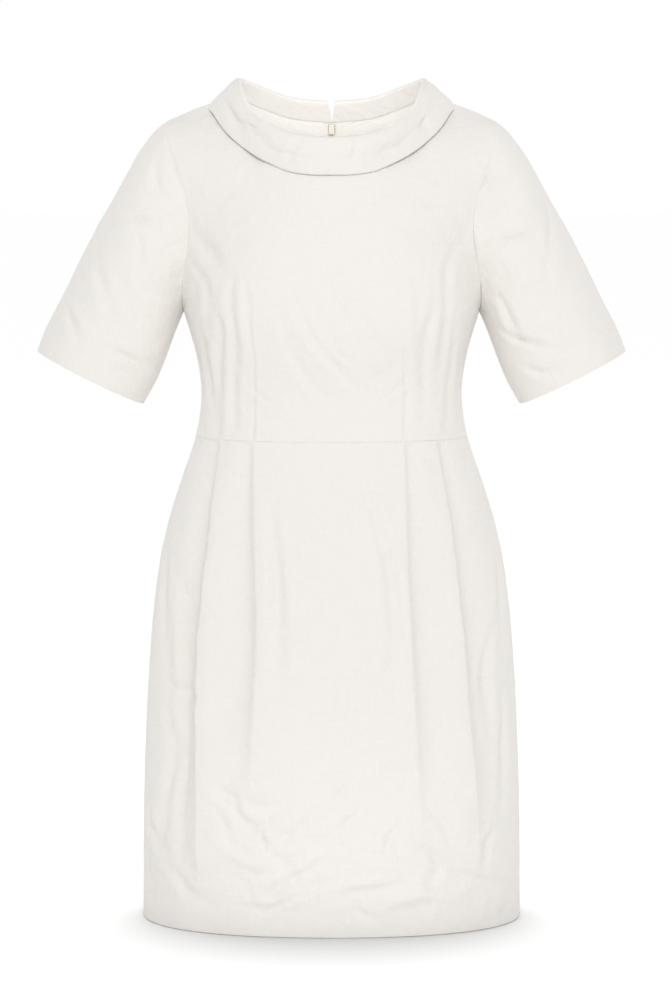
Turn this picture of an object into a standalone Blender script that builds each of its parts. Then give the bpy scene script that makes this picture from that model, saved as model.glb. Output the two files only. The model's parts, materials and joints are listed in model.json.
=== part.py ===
"""A sheath dress of slubby linen, in the hollow shape that it has when it is worn.

Metres, +Z up. The front faces -Y. The origin is midway between the neck ends of the two
shoulder seams, where the dress hangs on the shoulders. Every cloth piece is a thin wall
between an outer surface and an inner one, and the pieces lie a hair apart at their seams.
"""

import math
from collections import namedtuple

import bmesh
import bpy
import numpy as np
from mathutils import Vector
from mathutils.kdtree import KDTree

# ---------------------------------------------------------------- driving sizes

WALL = 0.0015
SEAM_GAP = 0.0003
SAME_POINT = 0.0001
LEAST_SQUARENESS = 0.6
SHARP_FROM = 50.0
ROUNDNESS = 2.25

WAIST_SEAM = -0.419
UNDERARM = -0.262
HEM = -1.027

SHOULDER_NECK_X = 0.1185
SHOULDER_TIP_X = 0.2046
SHOULDER_TIP_DROP = 0.0305
SHOULDER_BOW = 0.004

ARMHOLE_FRONT = 0.058
ARMHOLE_BACK = 0.064
ARMHOLE_HOLLOW = 0.020
ARMHOLE_HOLLOW_POWER = 5
CAP_HOLLOW_REACH = 0.35

# How fast the neckline takes over the shape of the upper bodice, and how its corners soften.
SHAPE_BY_TOP_HEIGHT = 1.3
SHAPE_BY_TOP_DEPTH = 2.7
CORNER_REACH = 0.20
CORNER_STEPS = 9
CORNER_SHARPNESS = 9.0

BUST_FULLNESS = 0.007
BUST_SIDEWAYS = 0.3
BUST_TURN = 38.0
BUST_TURN_REACH = 38.0
BUST_HEIGHT = -0.225
BUST_HEIGHT_REACH = 0.13

FOLD_INNER_RADIUS = 0.0028
FALL_BOW = 0.0022
NOTCH_AT_FOLD = 0.0047
NOTCH_AT_EDGE = 0.0080

ZIP_TOP = -0.0335
ZIP_BOTTOM = -0.600
TAPE_WIDTH = 0.0120
TAPE_THICKNESS = 0.0008
TAPE_FROM_SEAM = 0.0006
SLIDER_HEIGHT = -0.0385
SLIDER_HALF_LENGTH = 0.0065
SLIDER_HALF_WIDTH = 0.0042
SLIDER_THICKNESS = 0.0030
SLIDER_ROUNDING = 0.0012
SLIDER_CLEARANCE = 0.0007
JOINED_OVERLAP = 0.0003
SLIDER_BEHIND_CLOTH = 0.0007
SLIDER_SEAM_GAPS = (0.0016, 0.0013)
HINGE_ABOVE_CLOTH = 0.0025
BRIDGE_HALF_WIDTH = 0.0007
BRIDGE_THICKNESS = 0.0010
WINDOW_HALF_LENGTH = 0.0018
WINDOW_HALF_HEIGHT = 0.0011
SADDLE_HALF_WIDTH = 0.0022
NECK_HALF_WIDTH = 0.0004
PULL_HALF_THICKNESS = 0.0005
PULL_HALF_WIDTH = 0.0026
PULL_END_HALF_WIDTH = 0.0032
PULL_LENGTH = 0.0220
PULL_BAR = 0.0006
PULL_HOLE_HALF_WIDTH = 0.0012
PULL_HOLE_END = 0.0046
PULL_TILT = 6.5

# The direction that settles how the cut edges of the cloth are split into triangles.
DIAGONALS_FROM = Vector((0.37, 0.61, 0.70))

# ---------------------------------------------------------------- short tables

Section = namedtuple("Section", "height half_width front_depth back_depth")
SECTIONS = (
    Section(HEM, 0.2385, 0.1370, 0.1310),
    Section(-0.920, 0.2375, 0.1345, 0.1310),
    Section(-0.820, 0.2350, 0.1315, 0.1310),
    Section(-0.720, 0.2300, 0.1290, 0.1320),
    Section(-0.640, 0.2235, 0.1270, 0.1310),
    Section(-0.564, 0.2125, 0.1235, 0.1250),
    Section(-0.513, 0.2000, 0.1190, 0.1150),
    Section(-0.463, 0.1835, 0.1120, 0.1030),
    Section(WAIST_SEAM, 0.1690, 0.1050, 0.0925),
    Section(-0.395, 0.1645, 0.1040, 0.0895),
    Section(-0.365, 0.1620, 0.1070, 0.0890),
    Section(-0.320, 0.1675, 0.1190, 0.0945),
    Section(-0.290, 0.1755, 0.1265, 0.1000),
    Section(UNDERARM, 0.1840, 0.1300, 0.1050),
)

CentreLine = namedtuple("CentreLine", "height front_depth back_depth")
CENTRE_LINES = (
    CentreLine(UNDERARM, 0.1300, 0.1050),
    CentreLine(-0.200, 0.1275, 0.1070),
    CentreLine(-0.150, 0.1205, 0.1065),
    CentreLine(-0.110, 0.1120, 0.1030),
    CentreLine(-0.074, 0.1010, 0.0985),
    CentreLine(-0.029, 0.1000, 0.0880),
)

NeckRing = namedtuple("NeckRing", "half_width front_depth back_depth")
SEAM_RING = NeckRing(SHOULDER_NECK_X, 0.1010, 0.0880)
FOLD_RING = NeckRing(0.1155, 0.1040, 0.0845)
EDGE_RING = NeckRing(0.1520, 0.1165, 0.1030)

NeckHeight = namedtuple("NeckHeight", "turn seam fold edge")
NECK_HEIGHTS = (
    NeckHeight(0.0, -0.0740, -0.0490, -0.0944),
    NeckHeight(10.0, -0.0732, -0.0482, -0.0936),
    NeckHeight(22.0, -0.0700, -0.0450, -0.0880),
    NeckHeight(33.0, -0.0640, -0.0385, -0.0752),
    NeckHeight(45.0, -0.0540, -0.0295, -0.0590),
    NeckHeight(60.0, -0.0385, -0.0145, -0.0376),
    NeckHeight(75.0, -0.0180, 0.0080, -0.0200),
    NeckHeight(90.0, 0.0000, 0.0225, -0.0065),
    NeckHeight(105.0, -0.0005, 0.0232, -0.0040),
    NeckHeight(130.0, -0.0105, 0.0150, -0.0135),
    NeckHeight(155.0, -0.0240, 0.0015, -0.0350),
    NeckHeight(180.0, -0.0290, -0.0030, -0.0455),
)

SleeveLine = namedtuple("SleeveLine", "along x height")
SLEEVE_OUTER = (
    SleeveLine(0.00, SHOULDER_TIP_X, -SHOULDER_TIP_DROP),
    SleeveLine(0.05, 0.2172, -0.0402),
    SleeveLine(0.11, 0.2292, -0.0550),
    SleeveLine(0.19, 0.2442, -0.0770),
    SleeveLine(0.27, 0.2578, -0.1012),
    SleeveLine(0.36, 0.2718, -0.1265),
    SleeveLine(0.47, 0.2898, -0.1570),
    SleeveLine(0.62, 0.3130, -0.2008),
    SleeveLine(0.77, 0.3348, -0.2450),
    SleeveLine(0.92, 0.3575, -0.2890),
    SleeveLine(1.00, 0.3669, -0.3130),
)
SLEEVE_INNER = (
    SleeveLine(0.00, 0.1840, UNDERARM),
    SleeveLine(0.24, 0.1953, -0.2900),
    SleeveLine(0.49, 0.2065, -0.3200),
    SleeveLine(0.74, 0.2190, -0.3500),
    SleeveLine(1.00, 0.2352, -0.3790),
)
SleeveDepth = namedtuple("SleeveDepth", "along front back")
SLEEVE_DEPTHS = (
    SleeveDepth(0.00, ARMHOLE_FRONT, ARMHOLE_BACK),
    SleeveDepth(0.25, 0.0650, 0.0680),
    SleeveDepth(0.60, 0.0600, 0.0620),
    SleeveDepth(1.00, 0.0560, 0.0570),
)

Pleat = namedtuple("Pleat", "name waist_x middle_x low_x end depth spread")
PLEATS = (
    Pleat("left outer", -0.1350, -0.1640, -0.1830, -0.930, 0.0080, 0.0120),
    Pleat("left inner", -0.0940, -0.0940, -0.1000, -0.820, 0.0055, 0.0095),
    Pleat("right inner", 0.0905, 0.0985, 0.1130, -0.880, 0.0060, 0.0095),
    Pleat("right outer", 0.1300, 0.1590, 0.1900, -0.930, 0.0075, 0.0120),
)
PLEAT_MIDDLE = -0.610
PLEAT_FADE_POWER = 1.2
PLEAT_LOW = -0.860
PLEAT_START_DROP = 0.014
PLEAT_RIDGE_SHARE = 0.45
PLEAT_RIDGE_STEP = 1.7

# How many cells each surface has.
NECK_CELLS = 5
SHOULDER_CELLS = 8
BODICE_LOWER_CELLS = 7
ARMHOLE_CELLS = 12
SKIRT_HEIGHTS = (
    WAIST_SEAM, -0.432, -0.452, -0.480, -0.515, -0.560, -0.615, -0.680, -0.750, -0.820, -0.890, -0.960, HEM,
)
SLEEVE_REACHES = (0.0, 0.05, 0.12, 0.22, 0.34, 0.46, 0.60, 0.74, 0.87, 1.0)
STAND_PARTS = (0.0, 0.35, 0.7)
ROLL_PARTS = (0.0, 0.33, 0.67, 1.0)
FALL_PARTS = (0.25, 0.5, 0.75, 1.0)

# The share of a bodice row, from the centre line, that ends on the neckline.
NECK_SHARE = 0.38

LINEN = (0.90, 0.875, 0.835, 1.0)
ZIP_CLOTH = (0.84, 0.82, 0.77, 1.0)
ZIP_METAL = (0.80, 0.78, 0.72, 1.0)
LINEN_ROUGHNESS = 0.85
LACQUER_ROUGHNESS = 0.4

# ---------------------------------------------------------------- small tools


def column(table, name):
    return np.array([getattr(row, name) for row in table], float)


def smooth_through(knots, values, at):
    """The value at each place, on a smooth curve through every row of a table."""
    slopes = np.gradient(values, knots)
    at = np.clip(at, knots[0], knots[-1])
    row = np.clip(np.searchsorted(knots, at, side="right") - 1, 0, len(knots) - 2)
    step = knots[row + 1] - knots[row]
    part = (at - knots[row]) / step
    past = part - 1.0
    return (
        values[row] * (1.0 + 2.0 * part) * past**2
        + slopes[row] * step * part * past**2
        + values[row + 1] * part**2 * (3.0 - 2.0 * part)
        + slopes[row + 1] * step * part**2 * past
    )


def read(table, key, name, at):
    knots = column(table, key)
    values = column(table, name)
    if knots[0] > knots[-1]:
        knots = knots[::-1]
        values = values[::-1]
    return smooth_through(knots, values, np.asarray(at, float))


def rounded(turn):
    """How far a section's corner stands out of the plain ellipse at this turn."""
    power = np.abs(np.sin(turn)) ** ROUNDNESS + np.abs(np.cos(turn)) ** ROUNDNESS
    return power ** (-1.0 / ROUNDNESS)


def points(x, y, z):
    return np.stack(np.broadcast_arrays(x, y, z), axis=-1)


def unit(vectors):
    return vectors / np.maximum(np.linalg.norm(vectors, axis=-1, keepdims=True), 1e-12)


# ---------------------------------------------------------------- surfaces


def mound(distance):
    """A smooth hump: 1 at the middle, and 0 from a distance of 1 on."""
    return np.clip(1.0 - np.asarray(distance, float) ** 2, 0.0, 1.0) ** 2


def bust(turn, height):
    """What the darts let out over the bust, in metres, at a turn in degrees from the centre front."""
    across = mound((np.abs(turn) - BUST_TURN) / BUST_TURN_REACH)
    return BUST_FULLNESS * across * mound((height - BUST_HEIGHT) / BUST_HEIGHT_REACH)


def torso(turn, height):
    """The dress below the arms: turn in degrees, 0 at the centre front and 90 at the +X side."""
    turn = np.asarray(turn, float)
    angle = np.radians(turn)
    front = np.cos(angle) >= 0.0
    depth = np.where(
        front,
        read(SECTIONS, "height", "front_depth", height),
        read(SECTIONS, "height", "back_depth", height),
    )
    width = read(SECTIONS, "height", "half_width", height)
    swell = np.where(front, bust(turn, height), 0.0)
    x = width * rounded(angle) * np.sin(angle)
    y = -depth * rounded(angle) * np.cos(angle) - swell * np.cos(angle)
    return points(x + swell * np.sin(angle) * BUST_SIDEWAYS, y, height)


def armhole(around):
    """The +X armhole seam: 0 degrees at the underarm, 90 in front, 180 on the shoulder."""
    angle = np.radians(np.asarray(around, float))
    low_x = SLEEVE_INNER[0].x
    middle_x = 0.5 * (low_x + SHOULDER_TIP_X)
    middle_z = 0.5 * (UNDERARM - SHOULDER_TIP_DROP)
    depth = np.where(np.sin(angle) >= 0.0, ARMHOLE_FRONT, ARMHOLE_BACK)
    hollow = ARMHOLE_HOLLOW * np.abs(np.sin(angle)) ** ARMHOLE_HOLLOW_POWER
    x = middle_x - (SHOULDER_TIP_X - middle_x) * np.cos(angle) - hollow
    z = middle_z + (UNDERARM - middle_z) * np.cos(angle)
    return points(x, -depth * np.sin(angle), z)


def neck_ring(ring, line, turn):
    """A ring round the neck: the seam, the fold or the edge of the collar."""
    angle = np.radians(np.asarray(turn, float))
    depth = np.where(np.cos(angle) >= 0.0, ring.front_depth, ring.back_depth)
    height = read(NECK_HEIGHTS, "turn", line, np.abs(turn))
    return points(ring.half_width * np.sin(angle), -depth * np.cos(angle), height)


def shoulder(part, side):
    """The shoulder seam, from the neck (0) to the tip (1)."""
    x = SHOULDER_NECK_X + (SHOULDER_TIP_X - SHOULDER_NECK_X) * part
    z = -SHOULDER_TIP_DROP * part + SHOULDER_BOW * 4.0 * part * (1.0 - part)
    return points(side * x, 0.0 * x, z)


def bodice_top(across, back):
    """The upper edge of a bodice piece: neckline in the middle, shoulder seams outside it."""
    share = np.abs(across)
    side = np.where(across < 0.0, -1.0, 1.0)
    neck_turn = np.clip(share / NECK_SHARE, 0.0, 1.0) * 90.0
    turn = side * (180.0 - neck_turn if back else neck_turn)
    neckline = neck_ring(SEAM_RING, "seam", turn)
    along = np.clip((share - NECK_SHARE) / (1.0 - NECK_SHARE), 0.0, 1.0)
    return np.where((share <= NECK_SHARE)[..., None], neckline, shoulder(along, side))


def bodice_row(across, rise, back):
    """A row of the upper bodice, from armhole to armhole, before the neckline shapes it."""
    edge = armhole(180.0 * rise)
    ratio = edge[..., 1] / -ARMHOLE_FRONT
    edge_depth = ratio * (ARMHOLE_BACK if back else ARMHOLE_FRONT)
    top = NECK_HEIGHTS[-1].seam if back else NECK_HEIGHTS[0].seam
    centre_z = UNDERARM + (top - UNDERARM) * rise
    centre_depth = read(CENTRE_LINES, "height", "back_depth" if back else "front_depth", centre_z)
    share = np.clip(edge_depth / centre_depth, 1e-6, 0.999)
    end_turn = np.arctan((share**-ROUNDNESS - 1.0) ** (1.0 / ROUNDNESS))
    width = edge[..., 0] / (rounded(end_turn) * np.sin(end_turn))
    turn = across * end_turn
    height = centre_z + (edge[..., 2] - centre_z) * across**2
    x = width * rounded(turn) * np.sin(turn)
    depth = centre_depth * rounded(turn) * np.cos(turn)
    swell = 0.0 if back else bust(np.degrees(turn), height)
    y = depth if back else -depth - swell * np.cos(turn)
    return points(x + swell * np.sin(turn) * BUST_SIDEWAYS, y, height)


def soft_top(across, back):
    """The upper edge with its corners at the neck ends of the shoulders rounded off."""
    reach = np.minimum(CORNER_REACH, 1.0 - np.abs(across))
    steps = np.linspace(-1.0, 1.0, CORNER_STEPS)
    return np.mean([bodice_top(across + reach * step, back) for step in steps], axis=0)


def bodice(across, rise, back):
    """The bodice: across runs from -1 to 1, rise from -1 at the waist seam over 0 at the
    underarm to 1 at the shoulder."""
    across, rise = np.broadcast_arrays(np.asarray(across, float), np.asarray(rise, float))
    height = UNDERARM + (UNDERARM - WAIST_SEAM) * np.minimum(rise, 0.0)
    lower = torso(180.0 - 90.0 * across if back else 90.0 * across, height)
    up = np.maximum(rise, 0.0)
    plain_top = bodice_row(across, np.ones_like(up), back)
    soft = soft_top(across, back)
    powers = np.array((SHAPE_BY_TOP_HEIGHT, SHAPE_BY_TOP_DEPTH, SHAPE_BY_TOP_HEIGHT))
    upper = bodice_row(across, up, back) + (soft - plain_top) * up[..., None] ** powers
    upper = upper + (bodice_top(across, back) - soft) * up[..., None] ** CORNER_SHARPNESS
    return np.where((rise <= 0.0)[..., None], lower, upper)


def pleat_relief(x, height):
    """How far the soft pleats lift the front skirt, in metres outwards."""
    relief = np.zeros(np.broadcast(x, height).shape)
    for pleat in PLEATS:
        knots = np.array((PLEAT_LOW, PLEAT_MIDDLE, WAIST_SEAM))
        line = smooth_through(knots, np.array((pleat.low_x, pleat.middle_x, pleat.waist_x)), height)
        beside = (np.abs(x) - np.abs(line)) / pleat.spread
        valley = np.exp(-(beside**2))
        ridge = np.exp(-((beside + PLEAT_RIDGE_STEP) ** 2))
        start = 1.0 - np.exp((height - WAIST_SEAM) / PLEAT_START_DROP)
        part = np.clip((height - pleat.end) / (WAIST_SEAM - pleat.end), 0.0, 1.0)
        fade = np.sin(0.5 * math.pi * part) ** PLEAT_FADE_POWER
        same_side = x * pleat.waist_x > 0.0
        depth = pleat.depth * start * fade * same_side
        relief += depth * (PLEAT_RIDGE_SHARE * ridge - valley)
    return relief


def skirt(turn, height):
    plain = torso(turn, height)
    outward = points(np.sin(np.radians(turn)), -np.cos(np.radians(turn)), 0.0)
    front = np.cos(np.radians(turn)) >= 0.0
    relief = np.where(front, pleat_relief(plain[..., 0], plain[..., 2]), 0.0)
    return plain + unit(outward) * relief[..., None]


def sleeve(around, along):
    """The +X sleeve: around as on the armhole, along from the armhole (0) to the hem (1)."""
    angle = np.radians(np.asarray(around, float))
    outer_x = read(SLEEVE_OUTER, "along", "x", along)
    outer_z = read(SLEEVE_OUTER, "along", "height", along)
    inner_x = read(SLEEVE_INNER, "along", "x", along)
    inner_z = read(SLEEVE_INNER, "along", "height", along)
    front = read(SLEEVE_DEPTHS, "along", "front", along)
    back = read(SLEEVE_DEPTHS, "along", "back", along)
    hollow = ARMHOLE_HOLLOW * np.clip(1.0 - along / CAP_HOLLOW_REACH, 0.0, 1.0) ** 2
    out = -np.cos(angle)
    x = 0.5 * (outer_x + inner_x) + 0.5 * (outer_x - inner_x) * out
    x = x - hollow * np.abs(np.sin(angle)) ** ARMHOLE_HOLLOW_POWER
    z = 0.5 * (outer_z + inner_z) + 0.5 * (outer_z - inner_z) * out
    depth = np.where(np.sin(angle) >= 0.0, front, back)
    return points(x, -depth * np.sin(angle), z)


def collar(turn):
    """The underside of the collar, from its foot up the stand, over the fold and down the
    fall: an array of rows for these turns round the neck."""
    turn = np.asarray(turn, float)
    rows = []
    up = np.array((0.0, 0.0, 1.0))

    def slid(gap, ring):
        """The turns at which this row ends, so that the notch at the back opens to gap."""
        return turn * (1.0 - math.degrees(math.asin(gap / ring.half_width)) / 180.0)

    foot = neck_ring(SEAM_RING, "seam", turn)
    fold_turn = slid(NOTCH_AT_FOLD, FOLD_RING)
    fold_angle = np.radians(fold_turn)
    fold = neck_ring(FOLD_RING, "fold", fold_turn)
    edge = neck_ring(EDGE_RING, "edge", slid(NOTCH_AT_EDGE, EDGE_RING))
    outward = unit(points(np.sin(fold_angle), -np.cos(fold_angle), 0.0))
    centre = fold - up * (WALL + FOLD_INNER_RADIUS)
    fall = edge - centre
    down = np.arctan2(-(fall @ up), np.sum(fall * outward, axis=-1))
    start = centre - outward * FOLD_INNER_RADIUS
    for part in STAND_PARTS:
        rows.append(foot + (start - foot) * part)
    for part in ROLL_PARTS:
        angle = math.pi + (0.5 * math.pi - down - math.pi) * part
        roll = outward * np.cos(angle)[:, None] + up * np.sin(angle)[:, None]
        rows.append(centre + roll * FOLD_INNER_RADIUS)
    leave = rows[-1]
    lift = unit(roll)
    for part in FALL_PARTS:
        bow = FALL_BOW * 4.0 * part * (1.0 - part)
        rows.append(leave + (edge - leave) * part + lift * bow)
    return np.stack(rows)


# ---------------------------------------------------------------- cloth pieces


class Piece:
    """One cloth piece: rows and columns of points on its outer surface."""

    def __init__(self, name, family, outer, ring=False, fine=()):
        self.name = name
        self.family = family
        self.outer = np.array(outer, float)
        self.ring = ring
        self.fine = fine
        self.find_normals()

    def find_normals(self):
        self.normals = grid_normals(self.outer, self.ring)
        self.inward = -WALL * self.normals

    def edge(self, side):
        """The row and column indices of a side: low, high, first or last."""
        rows, columns = self.outer.shape[:2]
        if side in ("low", "high"):
            row = 0 if side == "low" else rows - 1
            return [(row, place) for place in range(columns)]
        place = 0 if side == "first" else columns - 1
        return [(row, place) for row in range(rows)]

    def sides(self):
        return ("low", "high") if self.ring else ("low", "high", "first", "last")


def grid_normals(grid, ring):
    """A normal at each point of a grid, from the faces round it."""
    loop = np.concatenate([grid, grid[:, :1]], axis=1) if ring else grid
    diagonal_a = loop[1:, 1:] - loop[:-1, :-1]
    diagonal_b = loop[1:, :-1] - loop[:-1, 1:]
    faces = np.cross(diagonal_a, diagonal_b)
    total = np.zeros_like(loop)
    total[:-1, :-1] += faces
    total[1:, :-1] += faces
    total[:-1, 1:] += faces
    total[1:, 1:] += faces
    if ring:
        total[:, 0] += total[:, -1]
        total = total[:, :-1]
    return unit(total)


def shared_direction(members):
    """One direction through the cloth where pieces meet, fair to each family of pieces."""
    families = {}
    for piece, place in members:
        families.setdefault(piece.family, []).append(piece.normals[place])
    outward = unit(np.sum([unit(np.sum(normals, axis=0)) for normals in families.values()], axis=0))
    square = np.mean([piece.normals[place] @ outward for piece, place in members])
    return -outward * WALL / max(float(square), LEAST_SQUARENESS)


def share_seams(pieces):
    """Gives the points that pieces have in common one direction through the cloth, so that
    the two cut edges of a seam stay parallel."""
    places = []
    for piece in pieces:
        on_edges = {place for side in piece.sides() for place in piece.edge(side)}
        places += [(piece, place) for place in sorted(on_edges)]
    tree = KDTree(len(places))
    for index, (piece, place) in enumerate(places):
        tree.insert(piece.outer[place], index)
    tree.balance()
    for piece, place in places:
        near = tree.find_range(piece.outer[place], SAME_POINT)
        members = [places[index] for _, index, _ in near]
        if len(members) > 1:
            piece.inward[place] = shared_direction(members)


def straighten_fine_edges(piece):
    """Every other point of an edge that meets a coarser one lies midway along its straight."""
    for side in piece.fine:
        places = piece.edge(side)
        for index in range(1, len(places) - 1, 2):
            before, here, after = places[index - 1], places[index], places[index + 1]
            piece.outer[here] = 0.5 * (piece.outer[before] + piece.outer[after])
            piece.inward[here] = 0.5 * (piece.inward[before] + piece.inward[after])


def pull_back(piece, seams):
    """Moves each seam edge back into its own piece by half of the seam's gap: along the
    cloth, square to the edge and square to the cut through the cloth."""
    moved = np.zeros_like(piece.outer)
    for side, gap in seams.items():
        step = -1 if side in ("high", "last") else 1
        places = piece.edge(side)
        line = np.array([piece.outer[place] for place in places])
        tangents = unit(np.gradient(line, axis=0))
        if piece.ring:
            tangents = unit(np.roll(line, -1, axis=0) - np.roll(line, 1, axis=0))
        shifts = []
        for index, (row, place) in enumerate(places):
            inner = (row + step, place) if side in ("low", "high") else (row, place + step)
            away = unit(piece.outer[inner] - piece.outer[row, place])
            for square_to in (tangents[index], unit(piece.inward[row, place])):
                away = unit(away - square_to * (away @ square_to))
            half_gap = 0.5 * (gap[index] if np.ndim(gap) else gap)
            shifts.append(away * half_gap)
        if side in piece.fine:
            for index in range(1, len(places) - 1, 2):
                shifts[index] = 0.5 * (shifts[index - 1] + shifts[index + 1])
        for place, shift in zip(places, shifts):
            moved[place] += shift
    piece.outer += moved


def add_cut_edge(mesh, outer_a, outer_b, inner_a, inner_b):
    """Two triangles across the thickness of the cloth. Both pieces of a seam split theirs
    along the same diagonal, so that neither bulges into the other. The diagonal starts at
    the point that comes first along one oblique direction."""
    def reach(vertex):
        return Vector((abs(vertex.co.x), vertex.co.y, vertex.co.z)).dot(DIAGONALS_FROM)

    if reach(outer_a) < reach(outer_b):
        mesh.faces.new((outer_a, inner_b, outer_b))
        mesh.faces.new((outer_a, inner_a, inner_b))
    else:
        mesh.faces.new((outer_b, outer_a, inner_a))
        mesh.faces.new((outer_b, inner_a, inner_b))


def wall_mesh(name, outer, inner, ring):
    """A closed wall between two grids of points."""
    rows, columns = outer.shape[:2]
    mesh = bmesh.new()
    outside = [[mesh.verts.new(point) for point in row] for row in outer]
    inside = [[mesh.verts.new(point) for point in row] for row in inner]
    last = columns if ring else columns - 1
    for row in range(rows - 1):
        for place in range(last):
            after = (place + 1) % columns
            mesh.faces.new((outside[row][place], outside[row][after],
                            outside[row + 1][after], outside[row + 1][place]))
            mesh.faces.new((inside[row][place], inside[row + 1][place],
                            inside[row + 1][after], inside[row][after]))
    for place in range(last):
        after = (place + 1) % columns
        add_cut_edge(mesh, outside[0][place], outside[0][after], inside[0][place], inside[0][after])
        add_cut_edge(mesh, outside[-1][after], outside[-1][place],
                     inside[-1][after], inside[-1][place])
    if not ring:
        for row in range(rows - 1):
            add_cut_edge(mesh, outside[row + 1][0], outside[row][0],
                         inside[row + 1][0], inside[row][0])
            add_cut_edge(mesh, outside[row][-1], outside[row + 1][-1],
                         inside[row][-1], inside[row + 1][-1])
    data = bpy.data.meshes.new(name)
    mesh.to_mesh(data)
    mesh.free()
    data.shade_smooth()
    data.set_sharp_from_angle(angle=math.radians(SHARP_FROM))
    return data


# ---------------------------------------------------------------- the scene


def clear_scene():
    for item in list(bpy.data.objects):
        bpy.data.objects.remove(item, do_unlink=True)


def make_material(name, colour, roughness, metallic):
    material = bpy.data.materials.new(name)
    material.use_nodes = True
    shader = material.node_tree.nodes["Principled BSDF"]
    shader.inputs["Base Color"].default_value = colour
    shader.inputs["Roughness"].default_value = roughness
    shader.inputs["Metallic"].default_value = metallic
    return material


def add_object(name, data, collection, material):
    item = bpy.data.objects.new(name, data)
    data.materials.append(material)
    collection.objects.link(item)
    return item


def half_turns():
    """The places across half a bodice, from the centre line to the armhole."""
    neck = np.linspace(0.0, NECK_SHARE, NECK_CELLS + 1)
    arm = np.linspace(NECK_SHARE, 1.0, SHOULDER_CELLS + 1)
    return np.concatenate([neck, arm[1:]])


def twice_as_fine(values):
    middles = 0.5 * (values[1:] + values[:-1])
    return np.sort(np.concatenate([values, middles]))


def cloth_pieces():
    """Every cloth piece of the dress, before its seams are set."""
    half = half_turns()
    whole = np.concatenate([-half[:0:-1], half])
    rise = np.concatenate([
        np.linspace(-1.0, 0.0, BODICE_LOWER_CELLS + 1),
        np.linspace(0.0, 1.0, ARMHOLE_CELLS + 1)[1:],
    ])[:, None]
    heights = np.array(SKIRT_HEIGHTS)[::-1, None]
    around = np.linspace(0.0, 360.0, 2 * ARMHOLE_CELLS + 1)[None, :-1]
    reaches = np.array(SLEEVE_REACHES)[::-1, None]
    neck = half[: NECK_CELLS + 1] / NECK_SHARE * 90.0
    quarter = twice_as_fine(neck)
    collar_turns = np.concatenate([quarter, 180.0 - quarter[-2::-1]])
    collar_turns = np.concatenate([-collar_turns[:0:-1], collar_turns])
    right_sleeve = sleeve(around, reaches)
    left_sleeve = right_sleeve[:, ::-1] * np.array((-1.0, 1.0, 1.0))
    front_turns = twice_as_fine(90.0 * whole)[None, :]
    return {
        piece.name: piece
        for piece in (
            Piece("front_bodice", "bodice", bodice(whole[None, :], rise, False)),
            Piece("back_bodice_right", "bodice", bodice(half[None, ::-1], rise, True)),
            Piece("back_bodice_left", "bodice", bodice(-half[None, :], rise, True)),
            Piece("front_skirt", "skirt", skirt(front_turns, heights), fine=("high",)),
            Piece("back_skirt_right", "skirt", skirt(180.0 - 90.0 * half[None, ::-1], heights)),
            Piece("back_skirt_left", "skirt", skirt(180.0 + 90.0 * half[None, :], heights)),
            Piece("sleeve_right", "sleeve", right_sleeve, ring=True),
            Piece("sleeve_left", "sleeve", left_sleeve, ring=True),
            Piece("collar", "collar", collar(collar_turns), fine=("low",)),
        )
    }


def sew(pieces):
    """Sets the seams: shared directions through the cloth, then the gaps."""
    for piece in pieces.values():
        straighten_fine_edges(piece)
        piece.find_normals()
    share_seams(pieces.values())
    for piece in pieces.values():
        straighten_fine_edges(piece)
    all_round = {side: SEAM_GAP for side in ("low", "high", "first", "last")}
    centre_back = np.full(len(pieces["back_bodice_left"].outer), SEAM_GAP)
    centre_back[-1], centre_back[-2] = SLIDER_SEAM_GAPS
    skirt_seams = {side: SEAM_GAP for side in ("high", "first", "last")}
    pull_back(pieces["front_bodice"], all_round)
    pull_back(pieces["back_bodice_right"], all_round | {"last": centre_back})
    pull_back(pieces["back_bodice_left"], all_round | {"first": centre_back})
    for name in ("front_skirt", "back_skirt_right", "back_skirt_left"):
        pull_back(pieces[name], skirt_seams)
    pull_back(pieces["sleeve_right"], {"high": SEAM_GAP})
    pull_back(pieces["sleeve_left"], {"high": SEAM_GAP})
    pull_back(pieces["collar"], {"low": SEAM_GAP, "first": SEAM_GAP, "last": SEAM_GAP})


# ---------------------------------------------------------------- zip


def seam_line(pieces, side, height):
    """At each height on the centre back: the inner face's edge, and the way into the cloth."""
    edge = -1 if side > 0.0 else 0
    beside = -2 if side > 0.0 else 1
    name = "right" if side > 0.0 else "left"
    inner = [piece.outer + piece.inward for piece in
             (pieces["back_skirt_" + name], pieces["back_bodice_" + name])]
    line = np.concatenate([grid[:, edge] for grid in inner])
    inside = np.concatenate([grid[:, beside] for grid in inner])
    order = np.argsort(line[:, 2])
    line = line[order]
    inside = inside[order]
    place = points(*(np.interp(height, line[:, 2], line[:, axis]) for axis in range(3)))
    into = points(*(np.interp(height, line[:, 2], inside[:, axis]) for axis in range(3))) - place
    into[:, 2] = 0.0
    return place, unit(into)


def tape_heights(pieces):
    """The heights at which a tape bends: the rows of the cloth that it lies on, and its ends."""
    rows = np.concatenate([pieces[name].outer[:, 0, 2] for name in
                           ("back_skirt_left", "back_bodice_left")])
    step = SLIDER_HEIGHT - SLIDER_HALF_LENGTH - SLIDER_CLEARANCE
    rows = rows[(rows > ZIP_BOTTOM + TAPE_WIDTH) & (rows < step - TAPE_WIDTH)]
    rows = rows[np.abs(rows - WAIST_SEAM) > TAPE_WIDTH]
    ends = (ZIP_BOTTOM, WAIST_SEAM, step - SLIDER_CLEARANCE, step, ZIP_TOP)
    return np.sort(np.concatenate([rows, ends])), step


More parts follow.
